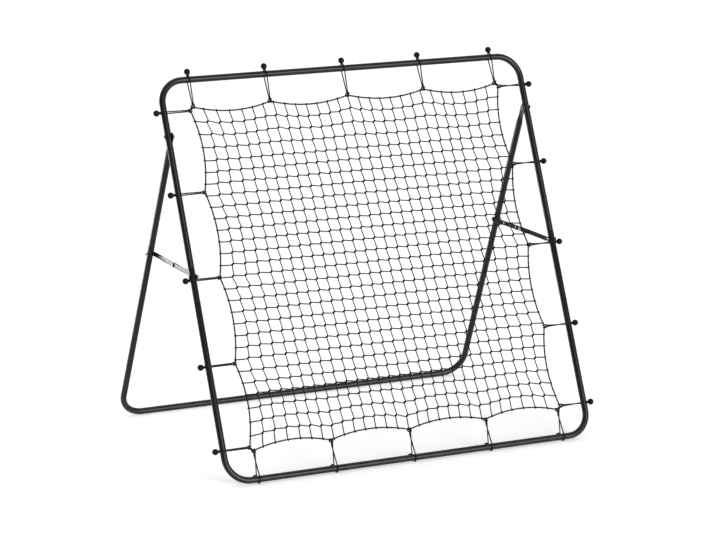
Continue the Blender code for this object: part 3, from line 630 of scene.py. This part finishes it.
def nut():
    """A hexagon nut up Z from 0, with its corners turned off at both ends."""
    corner = NUT_ACROSS_FLATS / math.sqrt(3.0)
    solids = []
    for facets in (6, ENVELOPE_FACETS):
        nothing_selected()
        bpy.ops.mesh.primitive_cylinder_add(vertices=facets, radius=corner, depth=NUT_HEIGHT,
                                            location=(0.0, 0.0, NUT_HEIGHT / 2))
        solids.append(bpy.context.object)
        fix_place()
    block, envelope = solids
    edit(envelope)
    for end in (0.0, NUT_HEIGHT):
        select_faces(envelope, lambda face: abs(face.normal.z) > 0.9
                     and abs(face.calc_center_median().z - end) < 1e-5)
        widen((0.86, 0.86, 1.0), (0.0, 0.0, end))
    leave_edit()
    edit(envelope)
    for station in (NUT_CHAMFER, NUT_HEIGHT - NUT_CHAMFER):
        bpy.ops.mesh.select_all(action="SELECT")
        bpy.ops.mesh.bisect(plane_co=(0.0, 0.0, station), plane_no=(0.0, 0.0, 1.0))
    shape = bmesh.from_edit_mesh(envelope.data)
    for vertex in shape.verts:
        if NUT_CHAMFER / 2 < vertex.co.z < NUT_HEIGHT - NUT_CHAMFER / 2:
            grow = corner * 1.01 / math.hypot(vertex.co.x, vertex.co.y)
            vertex.co.x *= grow
            vertex.co.y *= grow
    bmesh.update_edit_mesh(envelope.data)
    tidy_mesh()
    leave_edit()
    combine(block, envelope, "INTERSECT")
    drill(block, (0.0, 0.0, NUT_HEIGHT / 2), SHANK_RADIUS + NUT_BORE_GAP, 4 * NUT_HEIGHT, "Z")
    smooth(block, 25.0)
    return block


def bolt_end(through):
    """The threaded end of the brace's middle bolt, up Z from below the nut's seat."""
    length = through + NUT_HEIGHT + SHANK_PROUD
    pitch = 2 * THREAD_STEP
    profile = [(-through, SHANK_RADIUS * STUB_CREST)]
    for number in range(int((length - pitch) / pitch)):
        share = STUB_CREST if number % 2 else THREAD_CORE
        profile.append((pitch * (number + 1) - through, SHANK_RADIUS * share))
    profile.append((length - through, profile[-1][1] * 0.82))
    return turned(profile)


def seat_fastener(first, name, seat, side, material, slot, node):
    """Copies a fastener drawn up Z to its seat on one side, where it points along X."""
    x, place, facing, body = seat
    sign = SIDES[side]
    piece = copy_piece(first, f"{name}_{side}")
    turn = Matrix.Rotation(sign * facing * math.pi / 2, 4, "Y")
    set_in_place(piece, Matrix.Translation((sign * x, place.y, place.z)) @ turn)
    carrier = f"{body}_{side}" if body in ("front_brace", "rear_brace") else body
    dress(piece, piece.name, carrier, material, slot, f"{node}_{side}")


def make_fasteners():
    ring_end, leg_end = brace_points()
    middle = (ring_end + leg_end) / 2
    pivot = REAR_PLANE @ Vector((0.0, 0.0, 0.0))
    seat = RING_WIDTH / 2 + TUBE_RADIUS + GAP
    behind_nut = GAP + NUT_HEIGHT + SHANK_PROUD
    flat_face = FLAT_X - FLAT_THICKNESS / 2
    front_face = FRONT_BAR_X - BAR_THICKNESS / 2
    front_outer = FRONT_BAR_X + BAR_THICKNESS / 2
    rear_inner = REAR_BAR_X - BAR_THICKNESS / 2
    bar_face = BAR_SEAT_X - BAR_THICKNESS / 2 - GAP
    leg_face = LEG_JOINT_X + TUBE_RADIUS
    bolts = {  # seat, and length from the seat to the bolt's end
        "pivot": ((seat, pivot, 1, "ring"), seat - flat_face + behind_nut),
        "brace_front": ((seat, ring_end, 1, "ring"), seat - front_face + behind_nut),
        "brace_rear": ((bar_face, leg_end, -1, "rear_frame"), leg_face - bar_face + behind_nut),
        "brace_mid": ((front_outer + GAP, middle, 1, "front_brace"), GAP + BAR_THICKNESS),
    }
    nuts = {
        "pivot": (flat_face - GAP, pivot, -1, "ring"),
        "brace_front": (front_face - GAP, ring_end, -1, "ring"),
        "brace_rear": (leg_face + GAP, leg_end, 1, "rear_frame"),
        "brace_mid": (rear_inner - GAP, middle, -1, "rear_brace"),
    }
    for name, (place, grip) in bolts.items():
        first = bolt(grip)
        for side in SIDES:
            seat_fastener(first, f"{name}_domed_bolt", place, side, DARK_ZINC, "dark_steel",
                          f"{name}_bolt")
        bpy.data.objects.remove(first, do_unlink=True)
    kinds = {"hexagon_nut": nut(), "bolt_end": bolt_end(GAP + BAR_THICKNESS)}
    for name, place in nuts.items():
        for side in SIDES:
            for kind, first in kinds.items():
                if kind == "hexagon_nut" or name == "brace_mid":
                    seat_fastener(first, f"{name}_{kind}", place, side, BRIGHT_ZINC,
                                  "bright_steel", f"{name}_nut")
    for first in kinds.values():
        bpy.data.objects.remove(first, do_unlink=True)


# Net and its rope

def tie_offsets(half):
    corner = half - CORNER_TIE_INSET
    return [-corner, -INNER_TIE_OFFSET, 0.0, INNER_TIE_OFFSET, corner]


def inward(offset, half):
    """How far the net's edge hangs inwards here, between the ties that hold it."""
    ties = tie_offsets(half)
    reach = abs(offset)
    if reach >= ties[-1]:
        return CORNER_CUT * (reach - ties[-1]) / (half - NET_INSET - ties[-1])
    for start, end in zip(ties, ties[1:]):
        if start <= offset <= end:
            share = (offset - start) / (end - start)
            return 4.0 * SCALLOP_DEPTH * share * (1.0 - share)
    return 0.0


def net_lines(half):
    """Where the net's lines cross a side, from edge to edge. The outer gaps are wider."""
    widths = [
        EDGE_GAP_RATIO if i < EDGE_GAPS or i >= NET_GAPS - EDGE_GAPS else 1.0
        for i in range(NET_GAPS)
    ]
    reach = half - NET_INSET
    scale = 2.0 * reach / sum(widths)
    lines = [-reach]
    for width in widths:
        lines.append(lines[-1] + width * scale)
    return lines


def fade(distance):
    return max(0.0, 1.0 - distance / SCALLOP_FADE) ** SCALLOP_FADE_POWER


def net_point(x, y):
    """A point of the net's even grid, drawn in with the scallops of its edge."""
    half_x, half_y = RING_WIDTH / 2, RING_HEIGHT / 2
    reach_x, reach_y = half_x - NET_INSET, half_y - NET_INSET
    draw_x = inward(y, half_y) * fade(reach_x - abs(x))
    draw_y = inward(x, half_x) * fade(reach_y - abs(y))
    return Vector((x - math.copysign(draw_x, x), y - math.copysign(draw_y, y), 0.0))


def laid_cord(name, routes, radius, resolution, closed=False):
    """Cords along the given routes, drawn as round curves and made a mesh."""
    line = bpy.data.curves.new(name, "CURVE")
    line.dimensions = "3D"
    line.twist_mode = "MINIMUM"
    line.bevel_depth = radius
    line.bevel_resolution = resolution
    line.use_fill_caps = not closed
    for route in routes:
        spline = line.splines.new("POLY")
        spline.points.add(len(route) - 1)
        for point, place in zip(spline.points, route):
            point.co = (*place, 1.0)
        spline.use_cyclic_u = closed
    carrier = bpy.data.objects.new(name, line)
    bpy.context.scene.collection.objects.link(carrier)
    pick(carrier)
    bpy.ops.object.convert(target="MESH")
    cord = bpy.context.object
    edit(cord)
    tidy_mesh()
    leave_edit()
    pick(cord)
    bpy.ops.object.shade_smooth()
    return cord


def smooth_route(points, steps):
    """A smooth route through the points, with so many steps between each two."""
    route = []
    for number in range(len(points) - 1):
        p0, p1, p2 = points[max(number - 1, 0)], points[number], points[number + 1]
        p3 = points[min(number + 2, len(points) - 1)]
        for step in range(steps):
            t = step / steps
            route.append(0.5 * (
                2.0 * p1
                + (p2 - p0) * t
                + (2.0 * p0 - 5.0 * p1 + 4.0 * p2 - p3) * t * t
                + (3.0 * p1 - p0 - 3.0 * p2 + p3) * t**3
            ))
    route.append(points[-1])
    return route


def strand_route(lines, fixed, upright, chance):
    """One strand of the net: it runs straight between crossings and steps over
    diagonally at each, close beside the strand that it meets."""
    beside = Vector((JOIN_ASIDE, -JOIN_ASIDE, JOIN_LIFT)) * (1.0 if upright else -1.0)
    reach = Vector((JOIN_ACROSS, JOIN_UP, 0.0))
    route = []
    for here in lines[1:-1]:
        crossing = net_point(fixed, here) if upright else net_point(here, fixed)
        crossing = crossing + chance[(round(crossing.x, 6), round(crossing.y, 6))]
        route += [crossing + beside - reach, crossing + beside + reach]
    return route


def round_the_rope(place, outwards):
    """Where a strand's end is looped round the border rope and lies back on itself."""
    around = []
    for degrees in range(-110, 150, 50):
        angle = math.radians(degrees)
        around.append(place + outwards * (END_LOOP_RADIUS * math.cos(angle))
                      + Vector((0.0, 0.0, END_LOOP_RADIUS * math.sin(angle))))
    return around


def make_net():
    lines = net_lines(RING_WIDTH / 2)
    dice = random.Random(7)
    chance = {}
    for x in lines:
        for y in lines:
            place = net_point(x, y)
            chance[(round(place.x, 6), round(place.y, 6))] = Vector([
                dice.uniform(-most, most) for most in UNEVENNESS
            ])
    stand = RING_PLANE @ Matrix.Translation((0.0, RING_HEIGHT / 2, 0.0))
    for upright in (True, False):
        outwards = Vector((0.0, 1.0, 0.0)) if upright else Vector((1.0, 0.0, 0.0))
        routes = []
        for fixed in lines[1:-1]:
            start, end = (net_point(fixed, edge) if upright else net_point(edge, fixed)
                          for edge in (lines[0], lines[-1]))
            head = round_the_rope(start, -outwards)
            tail = round_the_rope(end, outwards)
            routes.append(head[::-1] + strand_route(lines, fixed, upright, chance) + tail)
        name = "net_upright_strands" if upright else "net_cross_strands"
        strands = laid_cord(name, routes, STRAND_RADIUS, 1)
        set_in_place(strands, stand)
        dress(strands, name, "ring", NET_TWINE, "net_twine", "net")
    rope_line = []
    steps = NET_GAPS * 4
    sides = ((lines[0], True, 1), (lines[-1], False, 1),
             (lines[-1], True, -1), (lines[0], False, -1))
    for edge, along_x, order in sides:
        for number in range(steps):
            along = order * (lines[0] + (lines[-1] - lines[0]) * number / steps)
            rope_line.append(net_point(along, edge) if along_x else net_point(edge, along))
    plies = [two_ply(rope_line, phase) for phase in (0.0, math.pi)]
    rope = laid_cord("border_rope_plies", plies, PLY_RADIUS, 1, True)
    set_in_place(rope, stand)
    dress(rope, "border_rope_plies", "ring", NET_TWINE, "net_twine", "border_rope")


def two_ply(line, phase):
    """One of the two plies of a laid rope, winding round the rope's line."""
    fine = []
    for number, here in enumerate(line):
        there = line[(number + 1) % len(line)]
        parts = max(1, round((there - here).length / (ROPE_LAY / 6)))
        fine += [here.lerp(there, k / parts) for k in range(parts)]
    run = 0.0
    lengths = []
    for number, here in enumerate(fine):
        lengths.append(run)
        run += (fine[(number + 1) % len(fine)] - here).length
    turns = round(run / ROPE_LAY)
    ply = []
    for number, here in enumerate(fine):
        ahead = (fine[(number + 1) % len(fine)] - fine[number - 1]).normalized()
        angle = phase + 2.0 * math.pi * turns * lengths[number] / run
        side = Vector((-ahead.y, ahead.x, 0.0)) * math.cos(angle)
        ply.append(here + (side + Vector((0.0, 0.0, math.sin(angle)))) * PLY_OFFSET)
    return ply


# Ball bungees. The front leg of the hitch at the net's edge, measured from that edge

HITCH = [
    (0.0130, 0.0006, 0.0019),
    (0.0080, 0.0022, 0.0020),
    (0.0038, 0.0040, 0.0023),
    (0.0002, 0.0042, 0.0027),
    (-0.0030, 0.0027, 0.0031),
    (-0.0041, -0.0002, 0.0034),
    (-0.0028, -0.0031, 0.0036),
    (0.0004, -0.0042, 0.0038),
    (0.0036, -0.0030, 0.0043),
    (0.0053, 0.0004, 0.0046),
    (0.0058, 0.0040, 0.0038),
    (0.0060, 0.0060, 0.0016),
]


def bungee_route(ball_angle, on_floor):
    """The loop of one bungee, as the ball's centre and the cord's route, in the plane
    square to the tube: X points away from the net and Y to the front. It starts at the
    ball, ties round the net's edge and comes back. On the floor it comes back straight."""
    from_ball = math.acos(WRAP_RADIUS / (BALL_REACH - BALL_RADIUS * 0.5))
    to_net = math.pi - math.acos(WRAP_RADIUS / NET_INSET)
    ball_centre = Vector((math.cos(ball_angle), math.sin(ball_angle), 0.0)) * BALL_REACH
    towards = -ball_centre.normalized()
    aside = Vector((-towards.y, towards.x, 0.0))

    def beside(sign):
        start = ball_centre - aside * (sign * CORD_PAIR_OFFSET)
        return [start, start + towards * BALL_RADIUS * 1.02]

    def around(start, end):
        parts = max(2, math.ceil(abs(end - start) / CORD_TURN_STEP))
        wrap = WRAP_RADIUS / math.cos(abs(end - start) / parts / 2.0)
        return [
            Vector((math.cos(start + (end - start) * i / parts),
                    math.sin(start + (end - start) * i / parts), 0.0)) * wrap
            for i in range(parts + 1)
        ]

    edge = Vector((-NET_INSET, 0.0, 0.0))
    hitch = [edge + Vector(place) for place in HITCH]
    hitch += [edge + Vector((x, y, -z)) for x, y, z in reversed(HITCH)]
    front = beside(1) + around(ball_angle + from_ball, to_net)
    back = [] if on_floor else around(-to_net, ball_angle - from_ball)
    return ball_centre, front + smooth_route(hitch, 3) + back + beside(-1)[::-1]


def ball(centre, towards):
    """A moulded ball with an oval neck that the two ends of the cord go into."""
    nothing_selected()
    bpy.ops.mesh.primitive_uv_sphere_add(segments=32, ring_count=20, radius=BALL_RADIUS)
    piece = bpy.context.object
    edit(piece)
    select_faces(piece, lambda face: face.normal.z > 0.90)
    bpy.ops.mesh.dissolve_faces()
    for factors in NECK_WIDENINGS:
        extrude((0.0, 0.0, NECK_STEP))
        widen(factors, (0.0, 0.0, 0.0))
    bpy.ops.mesh.inset(thickness=NECK_LIP)
    extrude((0.0, 0.0, -NECK_RECESS))
    widen((0.86, 0.86, 1.0), (0.0, 0.0, 0.0))
    tidy_mesh()
    leave_edit()
    smooth(piece, 38.0)
    turn = Vector(towards).to_track_quat("Z", "Y").to_matrix().to_4x4()
    piece.data.transform(Matrix.Translation(centre) @ turn)
    return piece


def make_bungee_kind(name, ball_angle, on_floor):
    centre, route = bungee_route(ball_angle, on_floor)
    cord = laid_cord(f"{name}_cord", [route], CORD_RADIUS, 2)
    return {"ball": ball(centre, -centre.normalized()), "cord": cord}


def make_bungees():
    """Five bungees on each side of the ring. Along the floor their balls lie behind."""
    half = RING_HEIGHT / 2
    drop = RING_LIFT - BALL_RADIUS - GAP
    low_angle = -math.pi / 2 - RING_LEAN + math.asin(drop / BALL_REACH)
    kinds = {False: make_bungee_kind("bungee", 0.0, False),
             True: make_bungee_kind("low_bungee", low_angle, True)}
    finishes = {"ball": BALL_PLASTIC, "cord": ELASTIC_CORD}
    rows = {"right": (half, None, 0), "top": (None, RING_HEIGHT, 1),
            "left": (-half, None, 2), "bottom": (None, 0.0, 3)}
    for row, (x, y, quarter) in rows.items():
        turn = Matrix.Rotation(quarter * math.pi / 2, 4, "Z")
        turn = turn @ Matrix.Rotation(math.pi / 2, 4, "X")
        for number, offset in enumerate(tie_offsets(half), 1):
            place = (x, half + offset, 0.0) if y is None else (offset, y, 0.0)
            node = f"bungee_{row}_{number}"
            for word, kind in kinds[row == "bottom"].items():
                piece = copy_piece(kind, f"{node}_{word}")
                set_in_place(piece, RING_PLANE @ Matrix.Translation(place) @ turn)
                if row == "bottom":
                    for vertex in piece.data.vertices:
                        vertex.co.z = max(vertex.co.z, 0.0)
                dress(piece, piece.name, "ring", finishes[word], "bungee", node)
    for kind in kinds.values():
        for piece in kind.values():
            bpy.data.objects.remove(piece, do_unlink=True)


# Finishes

def feed(tree, value, socket):
    """Gives a socket a number, a colour or another node's output."""
    if isinstance(value, bpy.types.NodeSocket):
        tree.links.new(value, socket)
    else:
        socket.default_value = (*value, 1.0) if isinstance(value, tuple) else value


def new_group(name, inputs, outputs):
    """An empty node group. An input without a number is a vector."""
    tree = bpy.data.node_groups.new(name, "ShaderNodeTree")
    for word, value in inputs.items():
        kind = "NodeSocketVector" if value is None else "NodeSocketFloat"
        socket = tree.interface.new_socket(name=word, in_out="INPUT", socket_type=kind)
        if value is not None:
            socket.default_value = value
    for word in outputs:
        tree.interface.new_socket(name=word, in_out="OUTPUT", socket_type="NodeSocketFloat")
    given, made = tree.nodes.new("NodeGroupInput"), tree.nodes.new("NodeGroupOutput")
    return tree, given.outputs, made.inputs


def compute(tree, operation, *values):
    """A sum on numbers and other nodes' outputs."""
    node = tree.nodes.new("ShaderNodeMath")
    node.operation = operation
    for value, socket in zip(values, node.inputs):
        feed(tree, value, socket)
    return node.outputs[0]


def noise(tree, vector, scale, detail):
    texture = tree.nodes.new("ShaderNodeTexNoise")
    texture.inputs["Detail"].default_value = detail
    feed(tree, vector, texture.inputs["Vector"])
    feed(tree, scale, texture.inputs["Scale"])
    return texture.outputs["Fac"]


def ramp(tree, value, low, high, out_low=0.0, out_high=1.0):
    span = tree.nodes.new("ShaderNodeMapRange")
    span.clamp = True
    span.inputs["From Min"].default_value = low
    span.inputs["From Max"].default_value = high
    span.inputs["To Min"].default_value = out_low
    span.inputs["To Max"].default_value = out_high
    feed(tree, value, span.inputs["Value"])
    return span.outputs["Result"]


def split_axes(tree, vector):
    split = tree.nodes.new("ShaderNodeSeparateXYZ")
    feed(tree, vector, split.inputs["Vector"])
    return split.outputs


def surface_grain_group():
    """Fine grain, broad shade and rubbed patches, from the place on the object."""
    tree, given, made = new_group(
        "surface_grain", {"Vector": None, "Grain Scale": 900.0, "Patch Scale": 14.0},
        ("Height", "Shade", "Rub"),
    )
    fine = noise(tree, given["Vector"], given["Grain Scale"], 2.0)
    broad = noise(tree, given["Vector"], given["Patch Scale"], 4.0)
    specks = noise(tree, given["Vector"], 160.0, 6.0)
    rub = compute(tree, "MULTIPLY", ramp(tree, specks, 0.60, 0.74),
                  ramp(tree, broad, 0.48, 0.66))
    feed(tree, fine, made["Height"])
    feed(tree, ramp(tree, broad, 0.30, 0.72), made["Shade"])
    feed(tree, rub, made["Rub"])
    return tree


def floor_dust_group():
    """Dust that thins out with height above the floor."""
    tree, given, made = new_group("floor_dust", {"Vector": None, "Height": 0.12}, ("Dust",))
    height = split_axes(tree, given["Vector"])["Z"]
    low = ramp(tree, compute(tree, "DIVIDE", height, given["Height"]), 0.0, 1.0, 1.0, 0.0)
    cloud = ramp(tree, noise(tree, given["Vector"], 60.0, 5.0), 0.35, 0.75)
    feed(tree, compute(tree, "MULTIPLY", low, cloud), made["Dust"])
    return tree


def cord_lay_group():
    """The slanting lines of a laid or braided cord, from its own UV map."""
    tree, given, made = new_group(
        "cord_lay", {"UV": None, "Turns": 300.0, "Strands": 3.0, "Counter": 0.0}, ("Height",)
    )
    axes = split_axes(tree, given["UV"])
    along = compute(tree, "MULTIPLY", axes["Y"], given["Turns"])
    across = compute(tree, "MULTIPLY", axes["X"], given["Strands"])
    waves = []
    for slant in ("ADD", "SUBTRACT"):
        turns = compute(tree, slant, along, across)
        waves.append(compute(tree, "SINE", compute(tree, "MULTIPLY", turns, 2.0 * math.pi)))
    counter = compute(tree, "MULTIPLY", waves[1], given["Counter"])
    joined = compute(tree, "ADD", waves[0], counter)
    feed(tree, ramp(tree, joined, -1.5, 1.5), made["Height"])
    return tree


def start_material(name, roughness, gloss=0.5, metallic=0.0):
    material = bpy.data.materials.new(name)
    material.use_nodes = True
    shader = material.node_tree.nodes["Principled BSDF"]
    shader.inputs["Roughness"].default_value = roughness
    shader.inputs["Metallic"].default_value = metallic
    shader.inputs["Specular IOR Level"].default_value = gloss
    return material, material.node_tree, shader.inputs


def place_group(tree, group, coordinates, **values):
    """Puts a group in a material, on the object's own place or on its UV map."""
    node = tree.nodes.new("ShaderNodeGroup")
    node.node_tree = group
    place = tree.nodes.new("ShaderNodeTexCoord").outputs[coordinates]
    feed(tree, place, node.inputs["UV" if coordinates == "UV" else "Vector"])
    for word, value in values.items():
        node.inputs[word.replace("_", " ")].default_value = value
    return node.outputs


def blend_colour(tree, factor, first, second):
    """A colour between two. Each of the two is a colour or another node's output."""
    mix = tree.nodes.new("ShaderNodeMix")
    mix.data_type = "RGBA"
    feed(tree, factor, mix.inputs["Factor"])
    feed(tree, first, mix.inputs[6])
    feed(tree, second, mix.inputs[7])
    return mix.outputs[2]


def bump(tree, shader, height, distance, strength):
    node = tree.nodes.new("ShaderNodeBump")
    node.inputs["Distance"].default_value = distance
    node.inputs["Strength"].default_value = strength
    feed(tree, height, node.inputs["Height"])
    feed(tree, node.outputs["Normal"], shader["Normal"])


def grained(name, colours, roughness, scales, relief, gloss=0.5, metallic=0.0):
    """A finish whose colour and roughness go between two values in broad patches. The
    scales are of its grain and patches, and the relief is the grain's depth and strength."""
    material, tree, shader = start_material(name, roughness[0], gloss, metallic)
    grain = place_group(tree, GRAIN, "Object", Grain_Scale=scales[0], Patch_Scale=scales[1])
    base = blend_colour(tree, grain["Shade"], *colours)
    feed(tree, base, shader["Base Color"])
    feed(tree, ramp(tree, grain["Shade"], 0.0, 1.0, *roughness), shader["Roughness"])
    bump(tree, shader, grain["Height"], *relief)
    return material, tree, shader, grain, base


def powder_coat(name, roughness, gloss):
    """Black powder coat: orange-peel grain, faint rubs and a little dust low down."""
    blacks = (0.0022, 0.0022, 0.0025), (0.0042, 0.0042, 0.0045)
    material, tree, shader, grain, base = grained(
        name, blacks, roughness, (620.0, 11.0), (0.00012, 0.35), gloss
    )
    rubbed = blend_colour(tree, grain["Rub"], base, (0.022, 0.022, 0.023))
    dust = place_group(tree, DUST, "Object", Height=0.10)
    shown = compute(tree, "MULTIPLY", dust["Dust"], 0.10)
    dusty = blend_colour(tree, shown, rubbed, (0.16, 0.155, 0.145))
    feed(tree, dusty, shader["Base Color"])
    return material


def zinc(name, colours, roughness):
    """Plated steel with a fine, slightly mottled surface."""
    return grained(name, colours, (roughness - 0.05, roughness + 0.08), (1500.0, 180.0),
                   (0.00005, 0.4), metallic=0.85)[0]


def ball_plastic():
    """Moulded black plastic, slightly uneven in gloss."""
    return grained("moulded_black_plastic", ((0.004, 0.004, 0.004), (0.007, 0.007, 0.0075)),
                   (0.30, 0.40), (1300.0, 90.0), (0.00006, 0.3), 0.08)[0]


def cord_finish(name, colours, roughness, gloss, depth, **lay_values):
    """Black cord with the slanting lines of its strands."""
    material, tree, shader = start_material(name, roughness, gloss)
    shader["Sheen Weight"].default_value = 0.02
    lay = place_group(tree, LAY, "UV", **lay_values)
    base = blend_colour(tree, lay["Height"], *colours)
    feed(tree, base, shader["Base Color"])
    bump(tree, shader, lay["Height"], depth, 0.8)
    return material, tree, shader, base


def twine():
    """Black twine with the lines of its twist, rubbed a little paler in places."""
    material, tree, shader, base = cord_finish(
        "black_net_twine", ((0.005, 0.005, 0.005), (0.014, 0.014, 0.015)), 0.80, 0.10,
        0.00025, Turns=520.0, Strands=2.0, Counter=0.0
    )
    grain = place_group(tree, GRAIN, "Object", Grain_Scale=2600.0, Patch_Scale=30.0)
    worn = blend_colour(tree, grain["Rub"], base, (0.028, 0.028, 0.029))
    feed(tree, worn, shader["Base Color"])
    return material


def elastic():
    """The braided cover of a bungee cord."""
    return cord_finish(
        "black_elastic_braid", ((0.004, 0.004, 0.004), (0.012, 0.012, 0.013)), 0.66, 0.15,
        0.0003, Turns=110.0, Strands=3.0, Counter=1.0
    )[0]


def lit_floor():
    """A white floor panel that also glows a little, so that shadows on it stay faint."""
    material, tree, shader = start_material("white_lit_floor", 0.9)
    shader["Emission Color"].default_value = (1.0, 1.0, 1.0, 1.0)
    shader["Emission Strength"].default_value = FLOOR_GLOW
    grain = place_group(tree, GRAIN, "Object", Grain_Scale=400.0, Patch_Scale=0.8)
    base = blend_colour(tree, grain["Shade"], (0.90, 0.90, 0.90), (0.92, 0.92, 0.92))
    feed(tree, base, shader["Base Color"])
    return material


# Camera and studio

def bearing(azimuth, elevation):
    """The direction of a camera or lamp seen from the object. Azimuth 0 is the front."""
    azimuth, elevation = math.radians(azimuth), math.radians(elevation)
    return Vector((
        math.sin(azimuth) * math.cos(elevation),
        -math.cos(azimuth) * math.cos(elevation),
        math.sin(elevation),
    ))


def make_camera():
    back = bearing(CAMERA_AZIMUTH, CAMERA_ELEVATION)
    bpy.ops.object.camera_add(location=CAMERA_TARGET + back * CAMERA_DISTANCE)
    camera = bpy.context.object
    camera.name = "camera"
    camera.rotation_euler = (-back).to_track_quat("-Z", "Y").to_euler()
    camera.data.lens = CAMERA_LENS
    camera.data.sensor_width = SENSOR_WIDTH
    bpy.context.scene.camera = camera


def softbox(name, place, target, size, watts):
    bpy.ops.object.light_add(type="AREA", location=place)
    lamp = bpy.context.object
    lamp.name = name
    lamp.data.shape = "SQUARE"
    lamp.data.size = size
    lamp.data.energy = watts
    lamp.rotation_euler = (Vector(target) - lamp.location).to_track_quat("-Z", "Y").to_euler()


def broad_light(name, azimuth, elevation, spread, strength):
    """Even light from a wide patch of sky."""
    turn = bearing(azimuth, elevation).to_track_quat("Z", "Y").to_euler()
    bpy.ops.object.light_add(type="SUN", rotation=turn)
    lamp = bpy.context.object
    lamp.name = name
    lamp.data.angle = math.radians(spread)
    lamp.data.energy = strength


def make_studio():
    bpy.ops.mesh.primitive_plane_add(size=FLOOR_SIZE, location=(0.0, 0.0, 0.0))
    floor = bpy.context.object
    floor.name = "studio_floor"
    floor.data.materials.append(lit_floor())
    broad_light("overhead_light", 180.0, 68.0, 90.0, 1.0)
    broad_light("front_light", 12.0, 13.0, 36.0, 3.8)
    softbox("rim_softbox", (-1.31, 1.62, 0.26), (-0.58, 0.12, 0.53), 0.60, 17.0)
    world = bpy.data.worlds.new("studio")
    world.use_nodes = True
    background = world.node_tree.nodes["Background"]
    background.inputs["Color"].default_value = (1.0, 1.0, 1.0, 1.0)
    background.inputs["Strength"].default_value = WORLD_GLOW
    bpy.context.scene.world = world
    bpy.context.scene.view_settings.view_transform = "Standard"


GRAIN = surface_grain_group()
DUST = floor_dust_group()
LAY = cord_lay_group()
POWDER_COAT = powder_coat("satin_black_powder_coat", (0.31, 0.39), 0.28)
BAR_COAT = powder_coat("smooth_black_powder_coat", (0.20, 0.26), 0.05)
DARK_ZINC = zinc("black_zinc_plate", ((0.012, 0.012, 0.013), (0.030, 0.030, 0.032)), 0.26)
BRIGHT_ZINC = zinc("bright_zinc_plate", ((0.36, 0.365, 0.37), (0.48, 0.485, 0.49)), 0.25)
NET_TWINE = twine()
ELASTIC_CORD = elastic()
BALL_PLASTIC = ball_plastic()

make_camera()
make_ring()
make_rear_frame()
make_braces()
make_fasteners()
make_net()
make_bungees()
make_studio()
